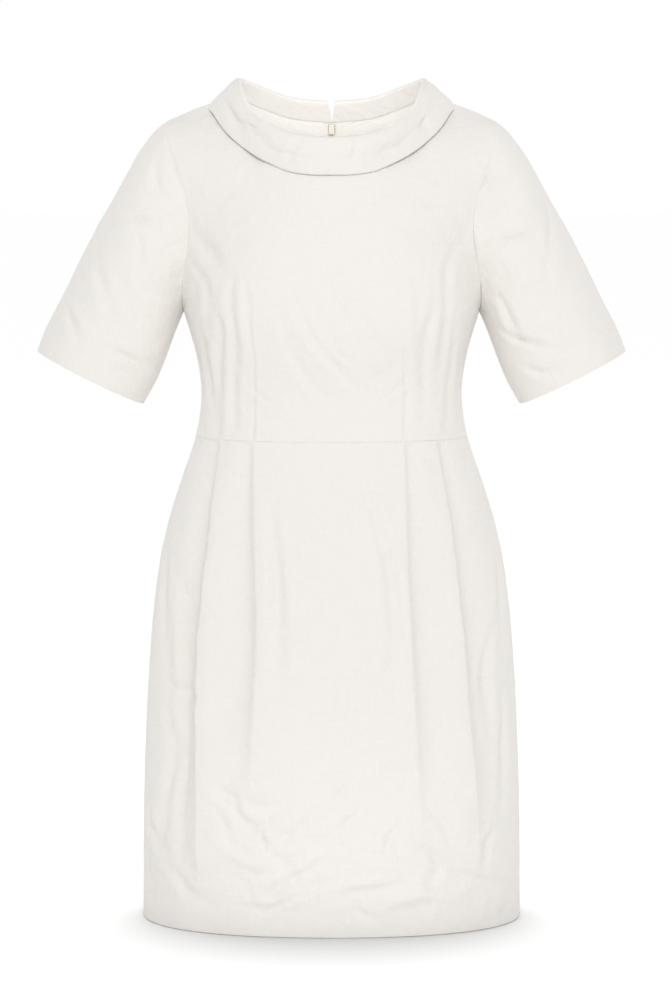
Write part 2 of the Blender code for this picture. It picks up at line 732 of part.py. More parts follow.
def add_tape(pieces, side, collection, material):
    """Half of the zip's tape, laid on the inside of the back beside the centre seam."""
    heights, step = tape_heights(pieces)
    place, into = seam_line(pieces, side, heights)
    down = np.gradient(place, axis=0)
    inward = unit(np.cross(down, into))
    inward = inward * np.where(inward[:, 1:2] > 0.0, -1.0, 1.0)
    beside_slider = SLIDER_HALF_WIDTH + SLIDER_CLEARANCE - np.abs(place[:, 0])
    near = np.where(heights >= step, beside_slider, TAPE_FROM_SEAM)[:, None]
    far = np.full_like(near, TAPE_FROM_SEAM + TAPE_WIDTH)
    columns = (far, near) if side > 0.0 else (near, far)
    outer = np.stack([place + into * away + inward * SEAM_GAP for away in columns], axis=1)
    inner = outer + inward[:, None] * TAPE_THICKNESS
    name = "zip_tape_right" if side > 0.0 else "zip_tape_left"
    add_object(name, wall_mesh(name, outer, inner, False), collection, material)


def box_mesh(name, low, high):
    """A box between two corners."""
    mesh = bmesh.new()
    bmesh.ops.create_cube(mesh, size=1.0)
    middle = (Vector(low) + Vector(high)) * 0.5
    size = Vector(high) - Vector(low)
    bmesh.ops.scale(mesh, vec=size, verts=mesh.verts)
    bmesh.ops.translate(mesh, vec=middle, verts=mesh.verts)
    data = bpy.data.meshes.new(name)
    mesh.to_mesh(data)
    mesh.free()
    return data


def add_slider(frame, collection, helpers, material):
    """The slider: its body inside the seam, and a bridge outside that carries the pull.
    Local X is across the seam, Y up along it and Z out of the cloth; 0 is the hinge."""
    cloth = -HINGE_ABOVE_CLOTH
    body_top = cloth - WALL - SLIDER_BEHIND_CLOTH
    bridge_end = WINDOW_HALF_LENGTH + BRIDGE_THICKNESS
    saddle_top = -WINDOW_HALF_HEIGHT
    saddle_low = saddle_top - BRIDGE_THICKNESS
    slider = add_object("zip_slider", box_mesh(
        "zip_slider",
        (-SLIDER_HALF_WIDTH, -SLIDER_HALF_LENGTH, body_top - SLIDER_THICKNESS),
        (SLIDER_HALF_WIDTH, SLIDER_HALF_LENGTH, body_top),
    ), collection, material)
    bevel = slider.modifiers.new("rounded_edges", "BEVEL")
    bevel.width = SLIDER_ROUNDING
    bevel.segments = 2
    bevel.limit_method = "ANGLE"
    overlap = JOINED_OVERLAP
    saddle_end = SLIDER_HALF_LENGTH - SLIDER_ROUNDING
    boxes = {
        "neck": ((-NECK_HALF_WIDTH, -bridge_end, body_top - overlap),
                 (NECK_HALF_WIDTH, bridge_end, saddle_low + overlap)),
        "saddle": ((-SADDLE_HALF_WIDTH, -saddle_end, saddle_low),
                   (SADDLE_HALF_WIDTH, saddle_end, saddle_top)),
        "upper_leg": ((-BRIDGE_HALF_WIDTH, WINDOW_HALF_LENGTH, saddle_top - overlap),
                      (BRIDGE_HALF_WIDTH, bridge_end, WINDOW_HALF_HEIGHT + overlap)),
        "lower_leg": ((-BRIDGE_HALF_WIDTH, -bridge_end, saddle_top - overlap),
                      (BRIDGE_HALF_WIDTH, -WINDOW_HALF_LENGTH, WINDOW_HALF_HEIGHT + overlap)),
        "bridge": ((-BRIDGE_HALF_WIDTH, -bridge_end, WINDOW_HALF_HEIGHT),
                   (BRIDGE_HALF_WIDTH, bridge_end, WINDOW_HALF_HEIGHT + BRIDGE_THICKNESS)),
    }
    for name, (low, high) in boxes.items():
        full_name = "slider_" + name
        helper = add_object(full_name, box_mesh(full_name, low, high), helpers, material)
        helper.hide_render = True
        helper.display_type = "WIRE"
        helper.parent = frame
        union = slider.modifiers.new(name, "BOOLEAN")
        union.operation = "UNION"
        union.object = helper
    slider.parent = frame


def arc(x, y, radius, start, end, steps):
    """Points along a piece of a circle, with its angles in degrees."""
    turns = np.radians(np.linspace(start, end, steps + 1))
    return [(x + radius * math.cos(turn), y + radius * math.sin(turn)) for turn in turns]


def add_pull(frame, lean, collection, material):
    """The pull: a flat drop with an eye round the slider's bridge. It turns about local X,
    and hangs a little off the cloth."""
    corner = PULL_HALF_WIDTH - PULL_HOLE_HALF_WIDTH
    top = PULL_BAR - corner
    end = -PULL_LENGTH + PULL_END_HALF_WIDTH
    outline = arc(PULL_HOLE_HALF_WIDTH, top, corner, 0.0, 90.0, 3)
    outline += arc(-PULL_HOLE_HALF_WIDTH, top, corner, 90.0, 180.0, 3)
    outline += arc(0.0, end, PULL_END_HALF_WIDTH, 180.0, 360.0, 12)
    hole = (
        (-PULL_HOLE_HALF_WIDTH, -PULL_BAR),
        (PULL_HOLE_HALF_WIDTH, -PULL_BAR),
        (PULL_HOLE_HALF_WIDTH, -PULL_HOLE_END),
        (-PULL_HOLE_HALF_WIDTH, -PULL_HOLE_END),
    )
    curve = bpy.data.curves.new("zip_pull", "CURVE")
    curve.dimensions = "2D"
    curve.fill_mode = "BOTH"
    curve.extrude = PULL_HALF_THICKNESS
    for corners in (outline, hole):
        spline = curve.splines.new("POLY")
        spline.points.add(len(corners) - 1)
        for point, (x, y) in zip(spline.points, corners):
            point.co = (x, y, 0.0, 1.0)
        spline.use_cyclic_u = True
    pull = add_object("zip_pull", curve, collection, material)
    pull.parent = frame
    pull.rotation_euler = (lean - math.radians(PULL_TILT), 0.0, 0.0)


def add_zip(pieces, collection, helpers):
    """The concealed zip in the centre back seam: two tapes, a slider and its pull."""
    tape = make_material("zip_tape_cloth", ZIP_CLOTH, LINEN_ROUGHNESS, 0.0)
    metal = make_material("zip_lacquered_metal", ZIP_METAL, LACQUER_ROUGHNESS, 0.0)
    for side in (-1.0, 1.0):
        add_tape(pieces, side, collection, tape)
    line = pieces["back_bodice_left"].outer[:, 0]
    low = float(np.interp(SLIDER_HEIGHT - SLIDER_HALF_LENGTH, line[:, 2], line[:, 1]))
    high = float(np.interp(SLIDER_HEIGHT + SLIDER_HALF_LENGTH, line[:, 2], line[:, 1]))
    lean = math.atan2(low - high, 2.0 * SLIDER_HALF_LENGTH)
    on_cloth = Vector((0.0, 0.5 * (low + high), SLIDER_HEIGHT))
    frame = bpy.data.objects.new("zip_hinge", None)
    collection.objects.link(frame)
    outward = Vector((0.0, math.cos(lean), math.sin(lean)))
    frame.location = on_cloth + outward * HINGE_ABOVE_CLOTH
    frame.rotation_euler = (0.5 * math.pi - lean, 0.0, math.pi)
    add_slider(frame, collection, helpers, metal)
    add_pull(frame, lean, collection, metal)


def main():
    clear_scene()
    dress = bpy.data.collections.new("sheath_dress")
    helpers = bpy.data.collections.new("helpers")
    for collection in (dress, helpers):
        bpy.context.scene.collection.children.link(collection)
    pieces = cloth_pieces()
    sew(pieces)
    for name, piece in pieces.items():
        inner = piece.outer + piece.inward
        mesh = wall_mesh(name, piece.outer, inner, piece.ring)
        linen = make_material(name + "_linen", LINEN, LINEN_ROUGHNESS, 0.0)
        add_object(name, mesh, dress, linen)
    add_zip(pieces, dress, helpers)


main()
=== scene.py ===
# %% [markdown]
# # A sheath dress of slubby linen
# The dress keeps the hollow shape that it has on a wearer. The solid parts are already made,
# so this lesson dresses them: each cloth piece becomes a thin shell with its folds, and gets
# a woven material. Every number is in metres, with +Z up, and the front of the dress faces -Y.
# First the solid parts are opened, because every piece has to sit where they are.

# %% Open the solid parts
import json
import math
from collections import namedtuple

import bpy
import numpy as np
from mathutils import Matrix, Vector, noise
from mathutils.kdtree import KDTree

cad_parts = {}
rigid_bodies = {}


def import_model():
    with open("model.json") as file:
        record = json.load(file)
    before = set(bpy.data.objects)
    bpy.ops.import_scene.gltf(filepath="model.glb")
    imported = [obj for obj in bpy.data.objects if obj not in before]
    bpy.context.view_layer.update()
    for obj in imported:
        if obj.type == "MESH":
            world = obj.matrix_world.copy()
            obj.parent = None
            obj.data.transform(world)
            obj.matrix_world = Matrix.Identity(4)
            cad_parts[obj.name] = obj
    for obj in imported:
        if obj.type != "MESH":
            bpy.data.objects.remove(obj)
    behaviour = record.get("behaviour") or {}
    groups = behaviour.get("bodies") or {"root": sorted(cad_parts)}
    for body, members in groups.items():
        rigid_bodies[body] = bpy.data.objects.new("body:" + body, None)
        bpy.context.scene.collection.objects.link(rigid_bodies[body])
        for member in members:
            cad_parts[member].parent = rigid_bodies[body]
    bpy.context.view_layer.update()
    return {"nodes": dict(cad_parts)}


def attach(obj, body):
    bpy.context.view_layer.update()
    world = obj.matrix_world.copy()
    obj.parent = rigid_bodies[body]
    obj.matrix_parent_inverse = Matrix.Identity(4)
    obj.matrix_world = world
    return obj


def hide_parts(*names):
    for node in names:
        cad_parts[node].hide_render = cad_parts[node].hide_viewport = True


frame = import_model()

print("solid parts:", sorted(frame["nodes"]))

# %% [markdown]
# The camera comes next, so that every later step can be judged in the same view. It stands
# four metres away, a little below shoulder height, and looks down by six degrees, because the
# hem bows down and the collar shows both its front and its back fold. A long lens keeps the
# dress as flat as a catalogue picture does.

# %% Set up the camera
LENS_MM = 114.57
SENSOR_MM = 36.0
CAMERA_PLACE = (0.00558, -4.0, -0.083)
CAMERA_TILT = 0.105284
camera = bpy.data.objects.new("camera", bpy.data.cameras.new("camera"))
camera.data.lens = LENS_MM
camera.data.sensor_width = SENSOR_MM
camera.location = CAMERA_PLACE
camera.rotation_euler = (math.pi / 2 - CAMERA_TILT, 0.0, 0.0)
bpy.context.scene.collection.objects.link(camera)
bpy.context.scene.camera = camera
print("camera at", tuple(round(value, 3) for value in camera.location))

# %% [markdown]
# Colours are easiest to read as the hex codes of a picture, but shaders work with linear
# light. This one function turns the one into the other.

# %% Turn a hex colour into linear light
def linear(code):
    """The linear colour of an sRGB hex code."""
    parts = [int(code[place:place + 2], 16) / 255 for place in (1, 3, 5)]
    light = [part / 12.92 if part <= 0.04045 else ((part + 0.055) / 1.055) ** 2.4 for part in parts]
    return (*light, 1.0)


print("linear white:", linear("#ffffff"))

# %% [markdown]
# A material is a small tree of nodes. One helper adds any node: it sets its options, and each
# input takes a value or the output of another node. That keeps every material short.

# %% Add a node
def add_node(tree, kind, inputs=None, **options):
    """Adds a node with these options, and fills or links its inputs."""
    node = tree.nodes.new(kind)
    for name, value in options.items():
        setattr(node, name, value)
    for name, value in (inputs or {}).items():
        if isinstance(value, bpy.types.NodeSocket):
            tree.links.new(value, node.inputs[name])
        else:
            node.inputs[name].default_value = value
    return node


def new_material(name, **values):
    """A material whose shader has these plain values, with its tree."""
    material = bpy.data.materials.new(name)
    material.use_nodes = True
    tree = material.node_tree
    for socket, value in values.items():
        tree.nodes["Principled BSDF"].inputs[socket.replace("_", " ")].default_value = value
    return material, tree


def feed(tree, socket, value):
    """Links an output to an input of a tree's shader."""
    tree.links.new(value, tree.nodes["Principled BSDF"].inputs[socket])


def two_tones(tree, share, code, other_code):
    """Lets the base colour run between two tones, by a share from 0 to 1."""
    feed(tree, "Base Color", add_node(tree, "ShaderNodeMix", {0: share, 6: linear(code), 7: linear(other_code)},
                                      data_type="RGBA").outputs[2])


def cloudy(tree, scale, **inputs):
    """Noise whose lumps lie this many to a metre."""
    return add_node(tree, "ShaderNodeTexNoise", {"Scale": scale, **inputs}).outputs[0]


def raised(tree, height, distance, **inputs):
    """The normal of a surface raised by up to this distance in metres."""
    return add_node(tree, "ShaderNodeBump", {"Height": height, "Distance": distance, **inputs}).outputs[0]


# %% [markdown]
# The studio is white all round: a pale floor that the light washes out, a bright world, and
# one broad soft light from in front and above, a little to the right. Two lights from behind
# lift the outline, and a low strip lifts the hem. They shine on the dress alone. A small light
# inside the neck reaches the back of the collar. So the sides turn only a shade darker, and
# the folds and the collar draw soft shadows.

# %% Light the studio
def area_light(name, place, target, size, power):
    """A square soft light that looks at a target."""
    data = bpy.data.lights.new(name, "AREA")
    data.size = size
    data.energy = power
    light = bpy.data.objects.new(name, data)
    light.location = place
    direction = Vector(target) - Vector(place)
    light.rotation_euler = direction.to_track_quat("-Z", "Y").to_euler()
    bpy.context.scene.collection.objects.link(light)
    return light


FLOOR_HEIGHT = -1.0278
WORLD_AS_LIGHT = 0.66
SKIRT_MIDDLE = (0.0, 0.0, -0.50)

world = bpy.data.worlds.new("white_studio")
world.use_nodes = True
backdrop = world.node_tree.nodes["Background"]
backdrop.inputs["Color"].default_value = linear("#ffffff")
seen = add_node(world.node_tree, "ShaderNodeLightPath").outputs["Is Camera Ray"]
strength = add_node(world.node_tree, "ShaderNodeMapRange",
                    {"Value": seen, "To Min": WORLD_AS_LIGHT, "To Max": 1.0}).outputs[0]
world.node_tree.links.new(strength, backdrop.inputs["Strength"])
bpy.context.scene.world = world
bpy.context.scene.view_settings.view_transform = "Standard"
area_light("soft_front_light", (0.20, -3.1, 2.2), SKIRT_MIDDLE, 1.2, 58.0)
low_fill = area_light("low_fill", (0.0, -0.37, -0.99), (0.0, 0.0, -0.97), 0.55, 0.12)
low_fill.data.shape = "RECTANGLE"
low_fill.data.size_y = 0.05
back_lights = [area_light(name, (x, 2.4, 1.1), SKIRT_MIDDLE, 1.2, 19.0)
               for name, x in (("back_light_left", -2.5), ("back_light_right", 2.5))]
lit_cloth = bpy.data.collections.new("lit_cloth")
bpy.context.scene.collection.children.link(lit_cloth)
for light in (*back_lights, low_fill):
    light.visible_camera = False
    light.light_linking.receiver_collection = lit_cloth
inner_light = area_light("light_inside_the_neck", (0.0, -0.085, -0.060), (0.0, 0.085, -0.030), 0.10, 0.150)
inner_light.visible_camera = False
print("lights:", [light.name for light in bpy.data.lights])

# %% [markdown]
# The floor is pale paper with a light of its own, straight from above and a little from
# behind. Only the floor takes that light and only the skirt blocks it, so the dress stands
# in a small soft shadow while nothing is burnt out on its shoulders.

# %% Lay the floor and light it
floor_mesh = bpy.data.meshes.new("floor")
floor_mesh.from_pydata([(-30, -5, 0), (30, -5, 0), (30, 60, 0), (-30, 60, 0)], [], [(0, 1, 2, 3)])
floor = bpy.data.objects.new("floor", floor_mesh)
floor.location.z = FLOOR_HEIGHT
paper, tree = new_material("matt_pale_paper", Roughness=1.0, Specular_IOR_Level=0.0,
                           Base_Color=linear("#c0c0c0"))
feed(tree, "Normal", raised(tree, cloudy(tree, 400.0), 0.0001))
floor_mesh.materials.append(paper)
lit_floor = bpy.data.collections.new("lit_floor")
shading_skirt = bpy.data.collections.new("shading_skirt")
lit_floor.objects.link(floor)
for part in (lit_floor, shading_skirt):
    bpy.context.scene.collection.children.link(part)
floor_light = bpy.data.objects.new("floor_light", bpy.data.lights.new("floor_light", "SUN"))
floor_light.data.energy = 3.9
floor_light.data.angle = math.radians(32.0)
floor_light.rotation_euler = (math.radians(-10.0), 0.0, 0.0)
floor_light.light_linking.receiver_collection = lit_floor
floor_light.light_linking.blocker_collection = shading_skirt
bpy.context.scene.collection.objects.link(floor_light)
print("floor at", FLOOR_HEIGHT)

# %% [markdown]
# ## The linen
# Linen is a plain weave of flax yarn, here about seventeen threads a centimetre. The yarn is
# uneven: thicker places, called slubs, run along both thread directions. Each piece carries
# a map of itself in metres, so the weave can be drawn with waves of the real pitch. Two
# crossed waves give the threads that pass over and under, and long thin noise gives the slubs.

# %% Weave the linen
THREAD_PITCH = 0.0006


def bands(tree, places, pitch, direction):
    """Waves that lie this far apart in metres, as a value from 0 to 1."""
    return add_node(tree, "ShaderNodeTexWave", {"Vector": places, "Scale": math.pi / 10.0 / pitch},
                    bands_direction=direction).outputs["Fac"]


def streaks(tree, places, scale):
    """Noise that is drawn out along one thread direction."""
    mapped = add_node(tree, "ShaderNodeMapping", {"Vector": places, "Scale": scale})
    return cloudy(tree, 1.0, Vector=mapped.outputs[0], Detail=2.0)


def combined(tree, operation, *values):
    """Two or three values or sockets, worked into one."""
    return add_node(tree, "ShaderNodeMath", dict(enumerate(values)), operation=operation).outputs[0]


linen, tree = new_material("slubby_linen", Roughness=0.86, IOR=1.53, Sheen_Weight=0.12,
                           Sheen_Roughness=0.6, Specular_IOR_Level=0.3)
places = add_node(tree, "ShaderNodeUVMap", uv_map="grain").outputs[0]
weft, warp = [bands(tree, places, THREAD_PITCH, direction) for direction in ("X", "Y")]
both = combined(tree, "MULTIPLY", weft, warp)
crossing = combined(tree, "MULTIPLY_ADD", both, -2.0, combined(tree, "ADD", weft, warp))
slubs = combined(tree, "MULTIPLY", streaks(tree, places, (30.0, 700.0, 1.0)),
                 streaks(tree, places, (700.0, 25.0, 1.0)))
spread = add_node(tree, "ShaderNodeMapRange", {"Value": slubs, "From Min": 0.18, "From Max": 0.45}).outputs[0]
two_tones(tree, combined(tree, "MULTIPLY", spread, cloudy(tree, 9.0, Vector=places)), "#e6e3de", "#e2dfd8")
woven = raised(tree, crossing, 0.00004, Strength=0.6)
slubby = raised(tree, spread, 0.00010, Normal=woven)
rumpled = cloudy(tree, 42.0, Vector=places, Detail=3.0, Distortion=0.6)
feed(tree, "Normal", raised(tree, rumpled, 0.0019, Normal=slubby))
print("linen woven at", round(0.01 / THREAD_PITCH), "threads a centimetre")

# %% [markdown]
# ## The shape of the dress
# The cloth follows the same rules as the solid parts, so its sizes are repeated here. The
# first helper draws a smooth curve through a short table.

# %% Read a value off a smooth curve
def smooth_through(knots, values, at):
    """The value at each place, on a smooth curve through every row of a table."""
    slopes = np.gradient(values, knots)
    at = np.clip(at, knots[0], knots[-1])
    row = np.clip(np.searchsorted(knots, at, side="right") - 1, 0, len(knots) - 2)
    step = knots[row + 1] - knots[row]
    part = (at - knots[row]) / step
    past = part - 1.0
    return (
        values[row] * (1.0 + 2.0 * part) * past**2
        + slopes[row] * step * part * past**2
        + values[row + 1] * part**2 * (3.0 - 2.0 * part)
        + slopes[row + 1] * step * part**2 * past
    )


def table_of(names, rows):
    """A table as one array under each name."""
    return dict(zip(names.split(), np.array(rows, float).T))


def read(table, name, at):
    """One column of a table, read at places given by the table's first column."""
    return smooth_through(next(iter(table.values())), table[name], np.asarray(at, float))


def points(x, y, z):
    return np.stack(np.broadcast_arrays(x, y, z), axis=-1)


def unit(vectors):
    return vectors / np.maximum(np.linalg.norm(vectors, axis=-1, keepdims=True), 1e-12)


# %% [markdown]
# Below the arms the dress is a stack of rounded sections: width, front depth and back depth
# at each height. The darts let the cloth out over the bust, which adds a soft mound.

# %% Shape the dress below the arms
WAIST_SEAM = -0.419
UNDERARM = -0.262
HEM = -1.027
ROUNDNESS = 2.25
SECTIONS = table_of("height half_width front_depth back_depth", (
    (HEM, 0.2385, 0.1370, 0.1310),
    (-0.920, 0.2375, 0.1345, 0.1310),
    (-0.820, 0.2350, 0.1315, 0.1310),
    (-0.720, 0.2300, 0.1290, 0.1320),
    (-0.640, 0.2235, 0.1270, 0.1310),
    (-0.564, 0.2125, 0.1235, 0.1250),
    (-0.513, 0.2000, 0.1190, 0.1150),
    (-0.463, 0.1835, 0.1120, 0.1030),
    (WAIST_SEAM, 0.1690, 0.1050, 0.0925),
    (-0.395, 0.1645, 0.1040, 0.0895),
    (-0.365, 0.1620, 0.1070, 0.0890),
    (-0.320, 0.1675, 0.1190, 0.0945),
    (-0.290, 0.1755, 0.1265, 0.1000),
    (UNDERARM, 0.1840, 0.1300, 0.1050),
))
BUST_FULLNESS = 0.007
BUST_SIDEWAYS = 0.3


def rounded(turn):
    """How far a section's corner stands out of the plain ellipse at this turn."""
    power = np.abs(np.sin(turn)) ** ROUNDNESS + np.abs(np.cos(turn)) ** ROUNDNESS
    return power ** (-1.0 / ROUNDNESS)


def mound(distance):
    """A smooth hump: 1 at the middle, and 0 from a distance of 1 on."""
    return np.clip(1.0 - np.asarray(distance, float) ** 2, 0.0, 1.0) ** 2


def bust(turn, height):
    """What the darts let out over the bust, at a turn in degrees from the centre front."""
    return BUST_FULLNESS * mound((np.abs(turn) - 38.0) / 38.0) * mound((height + 0.225) / 0.13)


def torso(turn, height):
    """The dress below the arms: 0 degrees is the centre front and 90 the +X side."""
    turn = np.asarray(turn, float)
    angle = np.radians(turn)
    front = np.cos(angle) >= 0.0
    depth = np.where(front, read(SECTIONS, "front_depth", height), read(SECTIONS, "back_depth", height))
    width = read(SECTIONS, "half_width", height)
    swell = np.where(front, bust(turn, height), 0.0)
    x = width * rounded(angle) * np.sin(angle) + swell * np.sin(angle) * BUST_SIDEWAYS
    y = -depth * rounded(angle) * np.cos(angle) - swell * np.cos(angle)
    return points(x, y, height)


# %% [markdown]
# Above the underarm each row of the bodice runs from armhole to armhole, and its ends follow
# the armhole seam. Towards the top the rows take over the shape of the neckline and of the
# shoulder seams.

# %% Shape the armholes, the neck and the shoulders
SHOULDER_NECK_X = 0.1185
SHOULDER_TIP_X = 0.2046
SHOULDER_TIP_DROP = 0.0305
SHOULDER_BOW = 0.004
ARMHOLE_FRONT = 0.058
ARMHOLE_BACK = 0.064
ARMHOLE_HOLLOW = 0.020
ARMHOLE_HOLLOW_POWER = 5
UNDERARM_X = 0.1840
NECK_SHARE = 0.38
CENTRE_LINES = table_of("height front_depth back_depth", (
    (UNDERARM, 0.1300, 0.1050),
    (-0.200, 0.1275, 0.1070),
    (-0.150, 0.1205, 0.1065),
    (-0.110, 0.1120, 0.1030),
    (-0.074, 0.1010, 0.0985),
    (-0.029, 0.1000, 0.0880),
))
NeckRing = namedtuple("NeckRing", "half_width front_depth back_depth")
SEAM_RING = NeckRing(SHOULDER_NECK_X, 0.1010, 0.0880)
FOLD_RING = NeckRing(0.1155, 0.1040, 0.0845)
EDGE_RING = NeckRing(0.1520, 0.1165, 0.1030)
NECK_HEIGHTS = table_of("turn seam fold edge", (
    (0.0, -0.0740, -0.0490, -0.0944),
    (10.0, -0.0732, -0.0482, -0.0936),
    (22.0, -0.0700, -0.0450, -0.0880),
    (33.0, -0.0640, -0.0385, -0.0752),
    (45.0, -0.0540, -0.0295, -0.0590),
    (60.0, -0.0385, -0.0145, -0.0376),
    (75.0, -0.0180, 0.0080, -0.0200),
    (90.0, 0.0000, 0.0225, -0.0065),
    (105.0, -0.0005, 0.0232, -0.0040),
    (130.0, -0.0105, 0.0150, -0.0135),
    (155.0, -0.0240, 0.0015, -0.0350),
    (180.0, -0.0290, -0.0030, -0.0455),
))


def armhole(around):
    """The +X armhole seam: 0 degrees at the underarm, 90 in front, 180 on the shoulder."""
    angle = np.radians(np.asarray(around, float))
    middle_x = 0.5 * (UNDERARM_X + SHOULDER_TIP_X)
    middle_z = 0.5 * (UNDERARM - SHOULDER_TIP_DROP)
    depth = np.where(np.sin(angle) >= 0.0, ARMHOLE_FRONT, ARMHOLE_BACK)
    hollow = ARMHOLE_HOLLOW * np.abs(np.sin(angle)) ** ARMHOLE_HOLLOW_POWER
    x = middle_x - (SHOULDER_TIP_X - middle_x) * np.cos(angle) - hollow
    return points(x, -depth * np.sin(angle), middle_z + (UNDERARM - middle_z) * np.cos(angle))


def neck_ring(ring, line, turn):
    """A ring round the neck: the seam, the fold or the edge of the collar."""
    angle = np.radians(np.asarray(turn, float))
    depth = np.where(np.cos(angle) >= 0.0, ring.front_depth, ring.back_depth)
    return points(ring.half_width * np.sin(angle), -depth * np.cos(angle),
                  read(NECK_HEIGHTS, line, np.abs(turn)))


def bodice_top(across, back):
    """The upper edge of a bodice piece: neckline in the middle, shoulder seams outside it."""
    share = np.abs(across)
    side = np.where(across < 0.0, -1.0, 1.0)
    neck_turn = np.clip(share / NECK_SHARE, 0.0, 1.0) * 90.0
    neckline = neck_ring(SEAM_RING, "seam", side * (180.0 - neck_turn if back else neck_turn))
    part = np.clip((share - NECK_SHARE) / (1.0 - NECK_SHARE), 0.0, 1.0)
    x = SHOULDER_NECK_X + (SHOULDER_TIP_X - SHOULDER_NECK_X) * part
    shoulder = points(side * x, 0.0 * x, -SHOULDER_TIP_DROP * part + SHOULDER_BOW * 4.0 * part * (1.0 - part))
    return np.where((share <= NECK_SHARE)[..., None], neckline, shoulder)


def bodice_row(across, rise, back):
    """A row of the upper bodice, from armhole to armhole, before the neckline shapes it."""
    edge = armhole(180.0 * rise)
    edge_depth = -edge[..., 1] / ARMHOLE_FRONT * (ARMHOLE_BACK if back else ARMHOLE_FRONT)
    top = NECK_HEIGHTS["seam"][-1 if back else 0]
    centre_z = UNDERARM + (top - UNDERARM) * rise
    centre_depth = read(CENTRE_LINES, "back_depth" if back else "front_depth", centre_z)
    share = np.clip(edge_depth / centre_depth, 1e-6, 0.999)
    end_turn = np.arctan((share**-ROUNDNESS - 1.0) ** (1.0 / ROUNDNESS))
    width = edge[..., 0] / (rounded(end_turn) * np.sin(end_turn))
    turn = across * end_turn
    height = centre_z + (edge[..., 2] - centre_z) * across**2
    swell = 0.0 if back else bust(np.degrees(turn), height)
    x = width * rounded(turn) * np.sin(turn) + swell * np.sin(turn) * BUST_SIDEWAYS
    depth = centre_depth * rounded(turn) * np.cos(turn)
    return points(x, depth if back else -depth - swell * np.cos(turn), height)


def bodice(across, rise, back):
    """The bodice: across from -1 to 1, and rise from -1 at the waist seam over 0 at the
    underarm to 1 at the shoulder."""
    across, rise = np.broadcast_arrays(np.asarray(across, float), np.asarray(rise, float))
    height = UNDERARM + (UNDERARM - WAIST_SEAM) * np.minimum(rise, 0.0)
    lower = torso(180.0 - 90.0 * across if back else 90.0 * across, height)
    up = np.maximum(rise, 0.0)
    plain_top = bodice_row(across, np.ones_like(up), back)
    reach = np.minimum(0.20, 1.0 - np.abs(across))
    soft = np.mean([bodice_top(across + reach * step, back) for step in np.linspace(-1.0, 1.0, 9)], axis=0)
    upper = bodice_row(across, up, back) + (soft - plain_top) * up[..., None] ** np.array((1.3, 2.7, 1.3))
    upper = upper + (bodice_top(across, back) - soft) * up[..., None] ** 9.0
    return np.where((rise <= 0.0)[..., None], lower, upper)


# %% [markdown]
# The sleeve is a flared tube: an outer line from the shoulder, an inner line from the
# underarm, and a depth at each place along it. Its cap starts with the hollow of the armhole.

# %% Shape the sleeves
SLEEVE_OUTER = table_of("along x height", (
    (0.00, SHOULDER_TIP_X, -SHOULDER_TIP_DROP),
    (0.05, 0.2172, -0.0402),
    (0.11, 0.2292, -0.0550),
    (0.19, 0.2442, -0.0770),
    (0.27, 0.2578, -0.1012),
    (0.36, 0.2718, -0.1265),
    (0.47, 0.2898, -0.1570),
    (0.62, 0.3130, -0.2008),
    (0.77, 0.3348, -0.2450),
    (0.92, 0.3575, -0.2890),
    (1.00, 0.3669, -0.3130),
))
SLEEVE_INNER = table_of("along x height", (
    (0.00, UNDERARM_X, UNDERARM),
    (0.24, 0.1953, -0.2900),
    (0.49, 0.2065, -0.3200),
    (0.74, 0.2190, -0.3500),
    (1.00, 0.2352, -0.3790),
))
SLEEVE_DEPTHS = table_of("along front back", (
    (0.00, ARMHOLE_FRONT, ARMHOLE_BACK),
    (0.25, 0.0650, 0.0680),
    (0.60, 0.0600, 0.0620),
    (1.00, 0.0560, 0.0570),
))


def sleeve(around, along):
    """The +X sleeve: around as on the armhole, along from the armhole (0) to the hem (1)."""
    angle = np.radians(np.asarray(around, float))
    outer_x, outer_z = read(SLEEVE_OUTER, "x", along), read(SLEEVE_OUTER, "height", along)
    inner_x, inner_z = read(SLEEVE_INNER, "x", along), read(SLEEVE_INNER, "height", along)
    hollow = ARMHOLE_HOLLOW * np.clip(1.0 - along / 0.35, 0.0, 1.0) ** 2
    out = -np.cos(angle)
    x = 0.5 * (outer_x + inner_x) + 0.5 * (outer_x - inner_x) * out
    x = x - hollow * np.abs(np.sin(angle)) ** ARMHOLE_HOLLOW_POWER
    z = 0.5 * (outer_z + inner_z) + 0.5 * (outer_z - inner_z) * out
    depth = np.where(np.sin(angle) >= 0.0, read(SLEEVE_DEPTHS, "front", along),
                     read(SLEEVE_DEPTHS, "back", along))
    return points(x, -depth * np.sin(angle), z)


# %% [markdown]
# ## Tools for the cloth
# A cloth piece starts as a grid of points. These helpers find the way out of the cloth at
# each point, the distance along it in metres, and how far each point is from every edge.

# %% Measure a piece of cloth
def steps(start, end, count):
    """Even steps whose first and last are cut into three, because seams need finer rows."""
    even = np.linspace(0.0, 1.0, count + 1)
    fine = even[1] * np.array((1.0, 2.0)) / 3.0
    parts = np.concatenate([even[:1], fine, even[1:-1], 1.0 - fine[::-1], even[-1:]])
    return start + (end - start) * parts


def way_out(grid):
    """The outward direction at each point of a grid, from the faces round it."""
    faces = np.cross(grid[1:, 1:] - grid[:-1, :-1], grid[1:, :-1] - grid[:-1, 1:])
    total = np.zeros_like(grid)
    total[:-1, :-1] += faces
    total[1:, :-1] += faces
    total[:-1, 1:] += faces
    total[1:, 1:] += faces
    return unit(total)


def lengths(grid, axis):
    """Metres along the cloth from the first row (axis 0) or the first column (axis 1)."""
    run = np.cumsum(np.linalg.norm(np.diff(grid, axis=axis), axis=-1), axis=axis)
    return np.insert(run, 0, 0.0, axis=axis)


